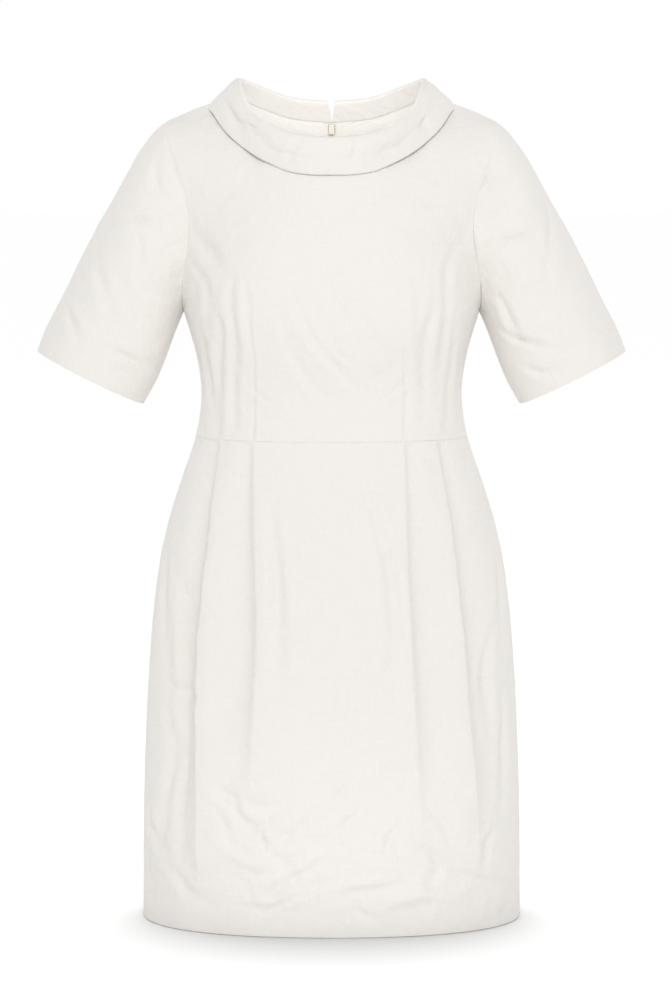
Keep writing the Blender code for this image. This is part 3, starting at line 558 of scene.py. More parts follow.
def edge_distances(grid):
    """The distance of each point from the low, high, first and last edge of its piece."""
    up, over = lengths(grid, 0), lengths(grid, 1)
    return {"low": up, "high": up[-1:] - up, "first": over, "last": over[:, -1:] - over}


# %% [markdown]
# Cloth is never quite even. Smooth noise makes it swell and sink a little, and folded noise,
# with its sharp hollows, gives the small rumples that linen takes so easily.

# %% Unevenness of the cloth
STRETCH = np.array((1.0, 1.0, 1.2))


def wander(places, size, start=0.0):
    """Smooth noise between about -1 and 1, with lumps of this size in metres."""
    flat = places.reshape(-1, 3) / size + start
    return np.array([noise.noise(place) for place in flat.tolist()]).reshape(places.shape[:-1])


def rumples(places, size, start=0.0):
    """The sharp hollows and soft mounds of crumpled cloth, around 0."""
    pull = np.stack([wander(places, 1.4 * size, start + more) for more in (1, 2, 3)], axis=-1)
    bent = places + 0.3 * size * pull
    octaves = [0.5**power * np.abs(wander(bent, size * 0.5**power, start + power)) for power in range(3)]
    return 2.0 * sum(octaves) - 0.8


def smooth_step(value):
    part = np.clip(value, 0.0, 1.0)
    return part * part * (3.0 - 2.0 * part)


def liveliness(places):
    """How uneven the cloth is: calm over the chest and the shoulders, and most at the hem."""
    low = smooth_step((-0.62 - places[..., 2]) / 0.30)
    chest = mound(np.abs(places[..., 0]) / 0.17) * mound((places[..., 2] + 0.14) / 0.13)
    return 0.8 + 1.0 * low - 0.62 * chest


# %% [markdown]
# A crease is given as a line of points as seen from in front or behind, a width and a
# depth. The line is laid on the cloth, and every point near it sinks or rises by its distance
# from the line. A trough is even on both sides. A fold is crisp on the side of the body's
# middle and eases out on the other. A dart is a narrow groove beside a slightly raised lap.

# %% Draw a crease
Crease = namedtuple("Crease", "kind width depth line")
CREASE_STEP = 0.002


def creases_of(text):
    """The creases of a text. A semicolon parts two of them, and a crease says: its kind / its widths
    / its depths / its places as x,z. Every length is in millimetres."""
    creases = []
    for entry in text.split(";"):
        kind, *fields = entry.split("/")
        widths, depths, line = [[[float(part + "e-3") for part in word.split(",")] for word in field.split()]
                                for field in fields]
        creases.append(Crease(kind.strip(), np.ravel(widths), np.ravel(depths), line))
    return tuple(creases)


def crease_shape(kind, across, outward):
    """The height of a crease for a depth of 1, at a distance of across widths from its line."""
    groove = -np.exp(-(across**2))
    if kind in ("trough", "ridge"):
        trough = groove + 0.3 * np.exp(-(((np.abs(across) - 1.9) / 0.9) ** 2))
        return trough if kind == "trough" else -trough
    if kind == "dart":
        return groove + 0.35 * np.exp(-(((outward + 2.2) / 1.6) ** 2))
    sunk = (1.0 - np.exp(-0.75 * np.maximum(outward, 0.0))) * np.exp(-((outward / 5.5) ** 2))
    return 0.05 * np.exp(-(((outward + 1.2) / 1.2) ** 2)) - sunk


def lay_on_cloth(grid, line, facing):
    """A line of (x, z) points as places on the cloth, close together."""
    line = np.array(line, float)
    run = lengths(line, 0)
    at = np.linspace(0.0, run[-1], max(4, int(run[-1] / CREASE_STEP)))
    x, z = smooth_through(run, line[:, 0], at), smooth_through(run, line[:, 1], at)
    seen = grid.reshape(-1, 3)
    seen = seen[seen[:, 1] * facing >= -CREASE_STEP]
    gaps = (x[:, None] - seen[None, :, 0]) ** 2 + (z[:, None] - seen[None, :, 2]) ** 2
    depth = seen[np.argmin(gaps, axis=1), 1]
    depth = np.convolve(np.pad(depth, 3, mode="edge"), np.ones(7) / 7.0, mode="valid")
    return points(x, depth, z)


def crease_height(grid, crease, facing):
    """How far one crease moves each point of a grid."""
    laid = lay_on_cloth(grid, crease.line, facing)
    tangents = unit(np.gradient(laid, axis=0))
    run = lengths(laid, 0)
    widths = np.interp(run, np.linspace(0.0, run[-1], len(crease.width)), crease.width)
    depths = np.interp(run, np.linspace(0.0, run[-1], len(crease.depth)), crease.depth)
    reach = (12.0 if crease.kind == "fold" else 6.0) * max(crease.width)
    flat = grid.reshape(-1, 3)
    near = np.all((flat > laid.min(0) - reach) & (flat < laid.max(0) + reach), axis=1)
    height = np.zeros(len(flat))
    if not near.any():
        return height.reshape(grid.shape[:-1])
    places = flat[near]
    nearest = np.argmin(((places[:, None] - laid[None]) ** 2).sum(-1), axis=1)
    offset = places - laid[nearest]
    along = np.sum(offset * tangents[nearest], axis=1)
    beside = offset - along[:, None] * tangents[nearest]
    side = np.sign(tangents[nearest, 0] * offset[:, 2] - tangents[nearest, 2] * offset[:, 0])
    across = side * np.linalg.norm(beside, axis=1) / widths[nearest]
    outward = across * np.sign(laid[:, 0].mean())
    past = np.maximum(np.abs(along) - CREASE_STEP, 0.0) / widths[nearest]
    height[near] = depths[nearest] * crease_shape(crease.kind, across, outward) * np.exp(-(past**2))
    return height.reshape(grid.shape[:-1])


# %% [markdown]
# A finished piece is a thin shell: the outer surface with its folds, the same surface on the
# inside, and the cut edge between them. Its map says in metres where each point lies on the
# flat cloth. Every piece that is made here rides on the dress.

# %% Make a mesh of a piece
def grid_faces(index):
    """The faces between the points of a grid, four corners each."""
    return np.stack([index[:-1, :-1], index[:-1, 1:], index[1:, 1:], index[1:, :-1]], axis=-1).reshape(-1, 4)


def grain_map(grid):
    """Metres over from the middle column and up from the first row, for each point of a grid."""
    over = lengths(grid, 1)
    return np.stack([over - over[:, grid.shape[1] // 2, None], lengths(grid, 0)], axis=-1)


def new_piece(name, places, faces, material, where=None, sharp_from=None):
    """A smooth mesh on the dress, mapped in metres if it is told where its points lie."""
    mesh = bpy.data.meshes.new(name)
    mesh.from_pydata(places.reshape(-1, 3).tolist(), [], faces)
    if where is not None:
        corners = np.zeros(len(mesh.loops), int)
        mesh.loops.foreach_get("vertex_index", corners)
        grain = mesh.uv_layers.new(name="grain")
        grain.data.foreach_set("uv", where.reshape(-1, 2)[corners].astype(np.float32).ravel())
    mesh.shade_smooth()
    if sharp_from is not None:
        mesh.set_sharp_from_angle(angle=math.radians(sharp_from))
    mesh.materials.append(material)
    piece = bpy.data.objects.new(name, mesh)
    bpy.context.scene.collection.objects.link(piece)
    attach(piece, "dress")
    return piece


def shell(name, outer, thickness, material):
    """A mesh between a grid of points and the inside of the cloth."""
    rows, columns = outer.shape[:2]
    inner = outer - way_out(outer) * np.broadcast_to(thickness, (rows, columns))[..., None]
    index = np.arange(rows * columns).reshape(rows, columns)
    outside = grid_faces(index)
    inside = outside[:, ::-1] + rows * columns
    loop = np.concatenate([index[0, :-1], index[:-1, -1], index[-1, :0:-1], index[:0:-1, 0]])
    after = np.roll(loop, -1)
    rim = np.stack([after, loop, loop + rows * columns, after + rows * columns], axis=-1)
    faces = np.concatenate([outside, inside, rim]).tolist()
    return new_piece(name, np.stack([outer, inner]), faces, material, np.stack([grain_map(outer)] * 2), 50.0)


# %% [markdown]
# Beside each seam the cloth puffs up a little, because the seam allowance lies behind it, and
# the seam itself stays low. No fold reaches a seam. The cloth also stays flat where a zip tape
# is sewn behind its edge, nearly flat over the turned-up hem, and taut along the outline,
# where it lies edge-on to the viewer in front.

# %% Build a piece of cloth
CLOTH = 0.0007
SEAM_PUFF = 0.0004
SEAM_PUFF_REACH = 0.0022
CREASES_END = 0.004
TUCK = 0.0004
TUCK_REACH = 0.0018
TURNED_UP = 2.2
HEM_CALM = 0.2
TAPE_FLAT = 0.006
TAPE_EASE = 0.020
TAUT = 0.35
EDGE_ON = 0.45
STITCH_INSIDE = 0.0013


def seam_puffs(places, distances, seams):
    """The raised cloth beside every seam of a piece, uneven along it."""
    uneven = 1.0 + 0.45 * wander(places, 0.014, 3.0)
    total = np.zeros(places.shape[:-1])
    for seam in seams:
        part = distances[seam] / SEAM_PUFF_REACH
        total += SEAM_PUFF * part * np.exp(1.0 - part)
    return total * uneven


def calm_at(distances, seams):
    """0 on a seam and 1 away from it, so that no fold pulls two pieces apart."""
    total = 1.0
    for seam in seams:
        total = total * smooth_step(distances[seam] / CREASES_END)
    return total


ALL_ROUND = ("low", "high", "first", "last")
ABOVE_THE_HEM = ("high", "first", "last")


def cloth_piece(name, grid, facing, seams, creases, swell, crumple, turn_up=None, tucked=None, taped=None):
    """One piece of the dress: its creases, swells and crumples, as a shell on its body."""
    distances = edge_distances(grid)
    height = sum(crease_height(grid, crease, facing) for crease in creases)
    lively = liveliness(grid)
    height = height + swell * lively * (0.65 * wander(grid, 0.085, 11.0) + 0.35 * wander(grid, 0.030, 5.0))
    patches = np.clip(0.35 + 1.6 * wander(grid, 0.11, 29.0), 0.0, 1.0)
    height += crumple * lively * patches * rumples(grid * STRETCH, 0.050)
    calm = calm_at(distances, seams)
    if taped:
        calm = calm * smooth_step((distances[taped] - TAPE_FLAT) / TAPE_EASE)
    if turn_up:
        calm = calm * (HEM_CALM + (1.0 - HEM_CALM) * smooth_step(distances["low"] / (1.4 * turn_up)))
    calm = calm * (TAUT + (1.0 - TAUT) * smooth_step(np.abs(way_out(grid)[..., 1]) / EDGE_ON))
    height = height * calm + seam_puffs(grid, distances, seams)
    if tucked:
        height -= TUCK * np.exp(-distances[tucked] / TUCK_REACH)
    outer = grid + way_out(grid) * height[..., None]
    thickness = CLOTH
    if turn_up:
        thickness = CLOTH * np.where(distances["low"] < turn_up, TURNED_UP, 1.0)
        row = int(np.argmin(np.abs(distances["low"][:, 0] - turn_up)))
        stitches(name.replace("_linen", "_hem_stitches"), outer[row] - way_out(outer)[row] * STITCH_INSIDE,
                 unit(outer[row + 1] - outer[row]), *HEM_STITCH)
    piece = shell(name, outer, thickness, linen)
    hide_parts(name.replace("_linen", ""))
    print(name, "has", 2 * len(piece.data.polygons), "triangles and", len(creases), "creases")
    return piece


# %% [markdown]
# The hems are turned up inside and caught with slip stitches, a short slanting thread every
# nine millimetres. A stitch is a small rod with round ends. Its cotton sewing thread is a
# little smoother than the linen and shows the twist of its plies.

# %% Sew with thread
thread, tree = new_material("cotton_sewing_thread", Roughness=0.7, IOR=1.53, Sheen_Weight=0.2)
places = add_node(tree, "ShaderNodeTexCoord").outputs["Object"]
two_tones(tree, bands(tree, places, 0.0004, "DIAGONAL"), "#d9d5cb", "#ebe8e0")
Stitch = namedtuple("Stitch", "pitch length radius")
HEM_STITCH = Stitch(0.009, 0.0035, 0.00022)
ZIP_STITCH = Stitch(0.0030, 0.0024, 0.00018)
STITCH_SIDES = 6
STITCH_RINGS = ((-0.5, 0.45), (-0.42, 0.9), (0.0, 1.0), (0.42, 0.9), (0.5, 0.45))


def circle(sides, one, two):
    """Points round a circle, in the plane of two directions."""
    turn = np.arange(sides) * 2.0 * math.pi / sides
    return one[:, None] * np.cos(turn)[:, None] + two[:, None] * np.sin(turn)[:, None]


def round_faces(index):
    """The faces of a tube whose rings are the rows of this index."""
    return grid_faces(np.concatenate([index, index[:, :1]], axis=1))


def stitches(name, line, across, pitch, length, radius):
    """A row of short threads along a line of places, each turned a little across it."""
    run = lengths(line, 0)
    at = np.arange(0.5 * pitch, run[-1], pitch)
    middle, ahead, turned = [np.stack([np.interp(place, run, values[:, axis]) for axis in range(3)], axis=1)
                             for values, place in ((line, at), (line, at + 0.001), (across, at))]
    if len(at) > 1 and at[-1] + 0.001 > run[-1]:
        ahead[-1] = 2.0 * middle[-1] - middle[-2]
    way = unit(unit(ahead - middle) + turned)
    side = unit(np.cross(way, turned + 1e-6))
    spokes = circle(STITCH_SIDES, side, np.cross(way, side))
    places = np.stack([middle[:, None] + way[:, None] * length * along + radius * wide * spokes
                       for along, wide in STITCH_RINGS], axis=1)
    index = np.arange(places.size // 3).reshape(places.shape[:3])
    faces = np.concatenate([round_faces(rings) for rings in index]).tolist()
    new_piece(name, places, faces + index[:, 0, ::-1].tolist() + index[:, -1].tolist(), thread)
    print(name, "has", len(at), "stitches")


# %% [markdown]
# ## The front bodice
# One piece, smooth over the chest, with a dart from each side of the bust down to the waist
# seam. Beside the darts the loose cloth falls in upright folds, short drag lines run in from
# the armpits, and a shallow crease runs slantwise over the middle of the waist. Their lines
# are listed one by one, each with its own width and depth.

# %% Cut and fold the front bodice
FRONT_BODICE_CREASES = creases_of("""
    dart / 2.2 / 0.4 1.4 1.7 1.8 / -107,-213 -100,-243 -99,-279 -95,-317 -95,-357 -96,-419;
    dart / 2.2 / 0.3 0.9 1.3 1.4 / 80,-213 86,-243 86,-279 89,-320 90,-419;
    ridge / 5 8 5 / 0.5 2.7 0.5 / -112,-214 -112,-255 -109,-300;
    ridge / 5 8 6 / 0.5 2.5 0.5 / 91,-212 95,-255 96,-305 98,-345;
    trough / 4 7 6 / 0.7 3.4 2 / -120,-223 -120,-260 -118,-295 -120,-345 -119,-395;
    trough / 5 8 7 / 0.6 3.4 3.1 1.7 / -139,-221 -142,-255 -136,-280 -138,-333 -139,-410;
    trough / 6 9 10 / 0.8 3.3 0.9 / -174,-151 -165,-169 -146,-191 -122,-221;
    trough / 6 8 / 0.7 3.1 0.9 / -168,-206 -153,-229 -150,-260 -147,-286;
    trough / 6 9 / 0.8 3.1 3.1 1.2 / -158,-290 -150,-347 -145,-412;
    trough / 5 7 6 / 0.7 3.1 2.4 0.7 / 127,-224 126,-254 117,-285 114,-321 113,-395;
    trough / 6 9 / 0.7 3.1 2.4 0.9 / 161,-174 145,-196 140,-224 140,-265 134,-330;
    trough / 5 8 / 0.6 2.4 1.5 / 152,-262 148,-320 142,-400;
    trough / 4 5 4 / 0.4 1.3 1.2 0.5 / -43,-223 -41,-253 -31,-276 -21,-296 -3,-317 15,-338 28,-353;
    trough / 3 4 / 0.5 1.1 0.5 / 0,-299 18,-317 38,-327;
    trough / 5 8 / 0.4 1.7 0.5 / -20,-215 10,-256 34,-302;
    trough / 5 8 / 0.4 1.9 0.5 / -64,-262 -50,-306 -26,-345 2,-376;
    ridge / 5 7 / 0.4 1.6 0.4 / -58,-245 -38,-286 -8,-326 14,-356;
    trough / 5 8 / 0.4 1.6 0.4 / 22,-240 46,-285 58,-335;
    trough / 4 6 / 0.4 1.6 0.4 / -80,-392 -48,-398 -18,-388;
    ridge / 4 6 / 0.4 1.4 0.4 / 10,-396 44,-388 70,-394;
    trough / 3.5 4 / 0.4 1.2 0.5 / -99,-354 -87,-362 -72,-375;
    trough / 3.5 4 / 0.4 1.2 0.5 / 65,-365 77,-356 93,-341
""")
BODICE_SWELL, BODICE_CRUMPLE = 0.0016, 0.0014
half = np.concatenate([np.linspace(0.0, NECK_SHARE, 51), steps(NECK_SHARE, 1.0, 50)[3:]])
whole = np.concatenate([-half[:0:-1], half])
rise = np.concatenate([steps(-1.0, 0.0, 54)[:-3], steps(0.0, 1.0, 80)[2:]])[:, None]
front_bodice = cloth_piece("front_bodice_linen", bodice(whole[None, :], rise, False), -1.0, ALL_ROUND,
                           FRONT_BODICE_CREASES, BODICE_SWELL, BODICE_CRUMPLE)

# %% [markdown]
# ## The back bodice
# Two halves meet at the centre back over the zip. The back is not seen in the picture, so it
# gets what such a back has: a waist dart on each side, folds beside it, and drag lines that
# run in from the armholes.

# %% Cut and fold the back bodice
def mirrored(creases, shift=0.0):
    """The same creases on the other side, moved a little so that the two don't match."""
    return tuple(crease._replace(line=tuple((-x, z + shift) for x, z in crease.line)) for crease in creases)


BACK_BODICE_CREASES = creases_of("""
    dart / 2.2 / 0.3 1.4 1.7 1.8 / 78,-240 80,-290 79,-350 80,-419;
    trough / 5 7 6 / 0.8 3.7 2.8 0.9 / 104,-262 106,-305 102,-345 104,-395;
    trough / 6 9 / 0.8 4 1.2 / 163,-170 149,-200 137,-240 131,-285;
    trough / 6 8 / 0.9 3.7 1.9 / 158,-262 146,-305 138,-352 136,-405;
    trough / 4 6 / 0.5 2.2 0.6 / 10,-330 35,-350 66,-356;
    trough / 4 5 / 0.5 1.6 0.6 / 120,-120 100,-140 75,-150
""")
back_bodice_right = cloth_piece("back_bodice_right_linen", bodice(half[None, ::-1], rise, True), 1.0, ALL_ROUND,
                                BACK_BODICE_CREASES, BODICE_SWELL, BODICE_CRUMPLE, taped="last")
back_bodice_left = cloth_piece("back_bodice_left_linen", bodice(-half[None, :], rise, True), 1.0, ALL_ROUND,
                               mirrored(BACK_BODICE_CREASES, -0.009), BODICE_SWELL, BODICE_CRUMPLE,
                               taped="first")

# %% [markdown]
# ## The front skirt
# Two soft pleats start at the waist seam on each side of the centre. Near the seam each is a
# crisp fold with a dark valley outside it. Below the hips it drifts outwards, widens and
# fades. Lower down the linen is crumpled by wear: short creases cross the skirt, most of them
# in the lower third.

# %% Cut and fold the front skirt
FRONT_SKIRT_PLEATS = creases_of("""
    fold / 2.6 6 8.4 10 10 / 4.2 13 18 16.5 1.5 / -96,-419 -96,-470 -95,-526 -93.5,-583 -92,-652 -95,-722
        -98.5,-781 -101,-850;
    fold / 2.6 6.6 9.6 13 14 / 4.2 16 25.5 28.5 4 / -137,-419 -143,-465 -151,-530 -158,-590 -165,-652 -168,-713
        -169,-791 -168,-867 -167,-970;
    fold / 2.6 5.8 8 10 10 / 4 12 16 15.5 1.5 / 90,-419 91.5,-488 94,-570 99,-665 103,-742 107,-814 111,-910;
    fold / 2.6 6.2 9 11.8 12.5 / 4 13.2 19 20 2.5 / 129,-419 139,-470 149,-535 156,-593 164,-660 173,-767
        179,-829 185,-950
""")
FRONT_SKIRT_CREASES = creases_of("""
    trough / 6 10 / 1.3 5.2 1.3 / -74,-496 -66,-588 -66,-674 -70,-720;
    trough / 6 10 / 1.1 4.8 1.3 / 38,-468 57,-519 71,-576 78,-663 79,-721;
    trough / 5 7 / 0.8 3.9 2.2 1.1 / -222,-720 -190,-731 -159,-740;
    trough / 7 11 / 0.8 3.4 1.2 / -213,-762 -207,-806 -214,-862 -215,-910;
    trough / 8 11 / 0.8 3.6 1.2 / -193,-793 -193,-868 -190,-925;
    trough / 6 9 / 0.8 3 1.2 / -232,-877 -227,-915 -214,-937;
    trough / 5 8 / 0.8 3.4 1 / -214,-951 -196,-961 -178,-979 -150,-993;
    trough / 4 5 / 0.8 3.5 1.3 / -140,-845 -119,-858 -116,-875;
    ridge / 4 6 / 0.8 3.6 0.8 / -116,-844 -85,-856 -58,-852;
    trough / 4 5 / 0.8 3.2 0.8 / -106,-888 -79,-892;
    trough / 3 5 / 0.8 3.1 0.8 / 36,-868 19,-884 -4,-900;
    trough / 4 6 / 0.8 3.5 1.3 / -2,-926 -39,-950 -82,-978;
    ridge / 4 6 / 0.7 3.1 0.8 / 84,-957 37,-960 -12,-970;
    trough / 4 5 / 0.8 3.5 0.8 / -48,-978 -72,-992 -113,-990;
    trough / 4 5 / 0.8 3.1 0.8 / 26,-978 43,-1001 63,-1006;
    trough / 3 4 / 0.7 2.7 0.7 / 16,-831 9,-859;
    trough / 4 6 / 1.3 4.8 1.3 / 96,-909 124,-926 134,-944 120,-960;
    ridge / 5 6 / 0.8 4.1 0.8 / 134,-937 172,-950 212,-966;
    trough / 4 6 / 0.8 2.8 0.8 / 214,-896 196,-920 189,-950;
    trough / 6 8 / 0.8 4.3 1.3 / -154,-830 -112,-883 -51,-943;
    trough / 3 4 / 0.7 3.1 0.7 / -85,-893 -85,-924;
    trough / 6 8 / 0.7 3.5 1.3 / 208,-640 198,-700 206,-780;
    trough / 6 9 / 1 4.2 1 / -203,-540 -211,-620 -214,-700;
    ridge / 6 9 / 1 3.6 1 / -196,-600 -200,-700 -203,-780;
    trough / 6 9 / 1 4.2 1 / 198,-520 210,-600 215,-690;
    trough / 6 9 / 1 3.8 1 / 218,-740 221,-820 216,-890;
    trough / 5 8 / 0.8 3 0.8 / -118,-922 -60,-905 -10,-868 20,-846;
    ridge / 5 7 / 0.8 2.8 0.8 / -150,-905 -120,-930 -75,-942;
    trough / 4 6 / 0.8 3 0.8 / -160,-865 -135,-880 -128,-905;
    trough / 4 6 / 0.8 3 0.8 / 118,-872 140,-892 150,-918;
    trough / 4 6 / 0.8 3.2 0.8 / 85,-885 70,-912 82,-935;
    ridge / 4 6 / 0.8 2.6 0.8 / 150,-985 105,-978 70,-986
""")
SWELL, CRUMPLE = 0.0022, 0.0017
SKIRT_HEM = 0.035
turns = steps(-90.0, 90.0, 272)[None, :]
heights = steps(HEM, WAIST_SEAM, 148)[:, None]
front_skirt = cloth_piece("front_skirt_linen", torso(turns, heights), -1.0, ABOVE_THE_HEM,
                          FRONT_SKIRT_PLEATS + FRONT_SKIRT_CREASES, SWELL, CRUMPLE, SKIRT_HEM, "high")

# %% [markdown]
# ## The back skirt
# Two halves, with the zip in the upper part of the seam between them. They get pleats and
# crumples like those of the front, a little weaker, because the wearer sits on them.

# %% Cut and fold the back skirt
BACK_SKIRT_CREASES = creases_of("""
    fold / 2.2 4.5 6 7 / 3.4 8 8.5 1 / 81,-419 86,-500 92,-600 98,-700 102,-800;
    fold / 2.4 5.8 8 9 / 3.4 9.5 10.5 1.5 / 128,-419 146,-490 160,-580 172,-690 182,-800 188,-900;
    trough / 6 10 / 0.8 3.4 0.9 / 40,-500 50,-580 55,-680;
    trough / 5 8 / 0.8 4 0.9 / 206,-700 210,-780 206,-860;
    trough / 4 6 / 0.6 3.1 0.8 / 20,-660 60,-672 110,-662 150,-640;
    trough / 4 6 / 0.6 2.8 0.8 / 30,-700 72,-716 130,-712;
    trough / 4 6 / 0.6 3.1 0.8 / 150,-850 110,-880 60,-892;
    ridge / 4 6 / 0.6 2.6 0.6 / 190,-930 140,-940 90,-930;
    trough / 4 5 / 0.6 2.8 0.8 / 40,-950 80,-972 120,-978
""")
quarter = steps(90.0, 180.0, 132)[None, :]
back_skirt_right = cloth_piece("back_skirt_right_linen", torso(quarter, heights), 1.0, ABOVE_THE_HEM,
                               BACK_SKIRT_CREASES, SWELL, CRUMPLE, SKIRT_HEM, "high", "last")
back_skirt_left = cloth_piece("back_skirt_left_linen", torso(quarter + 90.0, heights), 1.0, ABOVE_THE_HEM,
                              mirrored(BACK_SKIRT_CREASES, -0.014), SWELL, CRUMPLE, SKIRT_HEM, "high", "first")
for skirt_piece in (front_skirt, back_skirt_right, back_skirt_left):
    shading_skirt.objects.link(skirt_piece)

# %% [markdown]
# ## The sleeves
# Each sleeve is one piece with a seam on its underside, set into the armhole with a little
# ease. The cap is dented beside the armhole seam, short creases cross it at the elbow bend,
# and the hem is turned up inside.

# %% Cut and fold the sleeves
SLEEVE_CREASES_LEFT = creases_of("""
    trough / 6 8 / 1.2 5.2 1.6 / -190,-60 -188,-85 -178,-112;
    trough / 5 6 / 0.8 3.3 1 / -216,-80 -214,-108 -198,-128;
    trough / 4 6 / 0.8 4.8 2.5 0.8 / -250,-143 -231,-149 -211,-152 -195,-150;
    trough / 4 5 / 0.8 2.9 0.8 / -236,-168 -234,-185 -238,-200;
    trough / 5 6 / 0.8 3.6 1.2 / -330,-252 -320,-277 -312,-296;
    trough / 4 6 / 0.8 4 1.2 / -276,-306 -252,-319 -235,-327;
    trough / 6 8 / 0.7 2.9 1 / -290,-200 -282,-232 -270,-262
""")
SLEEVE_CREASES_RIGHT = creases_of("""
    trough / 5 6 / 1 4.4 1.2 / 172,-122 188,-103 204,-84;
    ridge / 5 6 / 0.8 3.4 0.8 / 180,-135 198,-116 216,-94;
    trough / 3 4 3 / 0.4 1.8 0.4 / 182,-152 200,-139 220,-128;
    trough / 3 4.5 3 / 0.4 2.2 1.6 0.4 / 186,-182 210,-173 236,-166 258,-160;
    trough / 4 6 / 1 3.6 2.6 0.8 / 210,-286 226,-296 246,-302 288,-314;
    trough / 4 6 / 0.8 3.6 1 / 203,-238 217,-266 230,-296;
    trough / 5 6 / 0.8 3.3 1 / 238,-330 256,-338 280,-336;
    trough / 5 7 / 0.7 2.5 0.8 / 262,-120 270,-160 268,-200
""")
SLEEVE_CREASES_BEHIND = creases_of("""
    trough / 6 8 / 1.2 5.2 1.6 / 184,-70 186,-98 180,-124;
    trough / 5 7 / 1 4.4 1.2 / 196,-168 220,-160 246,-158;
    trough / 4 6 / 0.8 4 1 / 212,-262 240,-270 276,-268;
    trough / 4 6 / 0.8 3.3 1 / 250,-308 272,-322 300,-326
""")
SLEEVE_HEM = 0.025
MIRROR = np.array((-1.0, 1.0, 1.0))


def one_sleeve(name, side, in_front, behind):
    """A whole sleeve on the +X (1) or the -X (-1) side. Its creases are drawn in front and
    behind, and meet in one sheet."""
    grid = sleeve(steps(0.0, 360.0, 180)[None, :], steps(1.0, 0.0, 72)[:, None])
    if side < 0:
        grid = grid[:, ::-1] * MIRROR
    height = sum(crease_height(grid, crease, 1.0) for crease in behind) * (grid[..., 1] > 0.0)
    height = height * calm_at(edge_distances(grid), ABOVE_THE_HEM)
    return cloth_piece(name, grid + way_out(grid) * height[..., None], -1.0, ABOVE_THE_HEM, in_front,
                       SWELL, CRUMPLE, SLEEVE_HEM)


sleeve_right = one_sleeve("sleeve_right_linen", 1.0, SLEEVE_CREASES_RIGHT, SLEEVE_CREASES_BEHIND)
sleeve_left = one_sleeve("sleeve_left_linen", -1.0, SLEEVE_CREASES_LEFT,
                         mirrored(SLEEVE_CREASES_BEHIND, 0.012))

# %% [markdown]
# ## The collar
# The collar is one folded band: it stands up from the neck seam, rolls over and falls, and
# opens in a small V at the centre back. It is cut double, so it is thicker than the rest and
# its edge is round. Each of its sections is one closed line: up the underside, round the edge
# and back over the top.

# %% Shape the collar
COLLAR_THICKNESS = 0.0017
FOLD_INNER_RADIUS = 0.0028
FALL_BOW = 0.0022
NOTCH_AT_FOLD = 0.0047
NOTCH_AT_EDGE = 0.0080
SOLID_WALL = 0.0015
STAND_ROWS = 10
FOLD_ROWS = 8
FALL_ROWS = 18


def collar(turn):
    """The underside of the collar, from its foot up the stand, over the fold and down."""
    up = np.array((0.0, 0.0, 1.0))

    def slid(gap, ring):
        return turn * (1.0 - math.degrees(math.asin(gap / ring.half_width)) / 180.0)

    foot = neck_ring(SEAM_RING, "seam", turn)
    fold_turn = slid(NOTCH_AT_FOLD, FOLD_RING)
    angle = np.radians(fold_turn)
    edge = neck_ring(EDGE_RING, "edge", slid(NOTCH_AT_EDGE, EDGE_RING))
    outward = unit(points(np.sin(angle), -np.cos(angle), 0.0))
    centre = neck_ring(FOLD_RING, "fold", fold_turn) - up * (SOLID_WALL + FOLD_INNER_RADIUS)
    fall = edge - centre
    down = np.arctan2(-(fall @ up), np.sum(fall * outward, axis=-1))
    start = centre - outward * FOLD_INNER_RADIUS
    rows = [foot + (start - foot) * part for part in np.linspace(0.0, 1.0, STAND_ROWS + 1)[:-1]]
    for part in np.linspace(0.0, 1.0, FOLD_ROWS + 1):
        bend = math.pi + (0.5 * math.pi - down - math.pi) * part
        roll = outward * np.cos(bend)[:, None] + up * np.sin(bend)[:, None]
        rows.append(centre + roll * FOLD_INNER_RADIUS)
    leave = rows[-1]
    for part in np.linspace(0.0, 1.0, FALL_ROWS + 1)[1:]:
        rows.append(leave + (edge - leave) * part + roll * FALL_BOW * 4.0 * part * (1.0 - part))
    return np.stack(rows)


COLLAR_CREASES = creases_of("""
    trough / 5 6 / 0.6 2.8 0.9 / -106,-14 -93,-35 -80,-53;
    trough / 4 6 / 0.6 2.5 0.8 / 43,-47 59,-59 77,-71;
    trough / 5 6 / 0.6 2.2 0.8 / -131,-4 -121,-26 -111,-43;
    trough / 5 6 / 0.6 2.5 0.8 / -56,-78 -48,-68 -37,-56;
    trough / 4 5 / 0.6 1.9 0.6 / 26,-76 29,-66 31,-56;
    trough / 5 6 / 0.6 2.2 0.6 / 100,-20 112,-34 118,-48
""")
collar_turns = np.concatenate([-steps(0.0, 180.0, 150)[:0:-1], steps(0.0, 180.0, 150)])
underside = collar(collar_turns)
print("collar edge is", round(float(lengths(underside[-1:], 1)[0, -1]), 3), "m round")

# %% [markdown]
# A worn collar falls until its edge rests on the dress. The fall is turned down along the way
# into the bodice, most at its edge. Behind the shoulders it moves less, and its edge stands
# off a little. The movement is evened out along the collar, so that the edge runs smoothly.

# %% Lay the collar on the bodice
EDGE_GAP = 0.0015
LEAST_GAP = 0.0010
SHORTER_IN_FRONT = 0.10
MOST_DROP = 0.018
LESS_DROP_BEHIND = 0.007
EVENED_OVER = 15


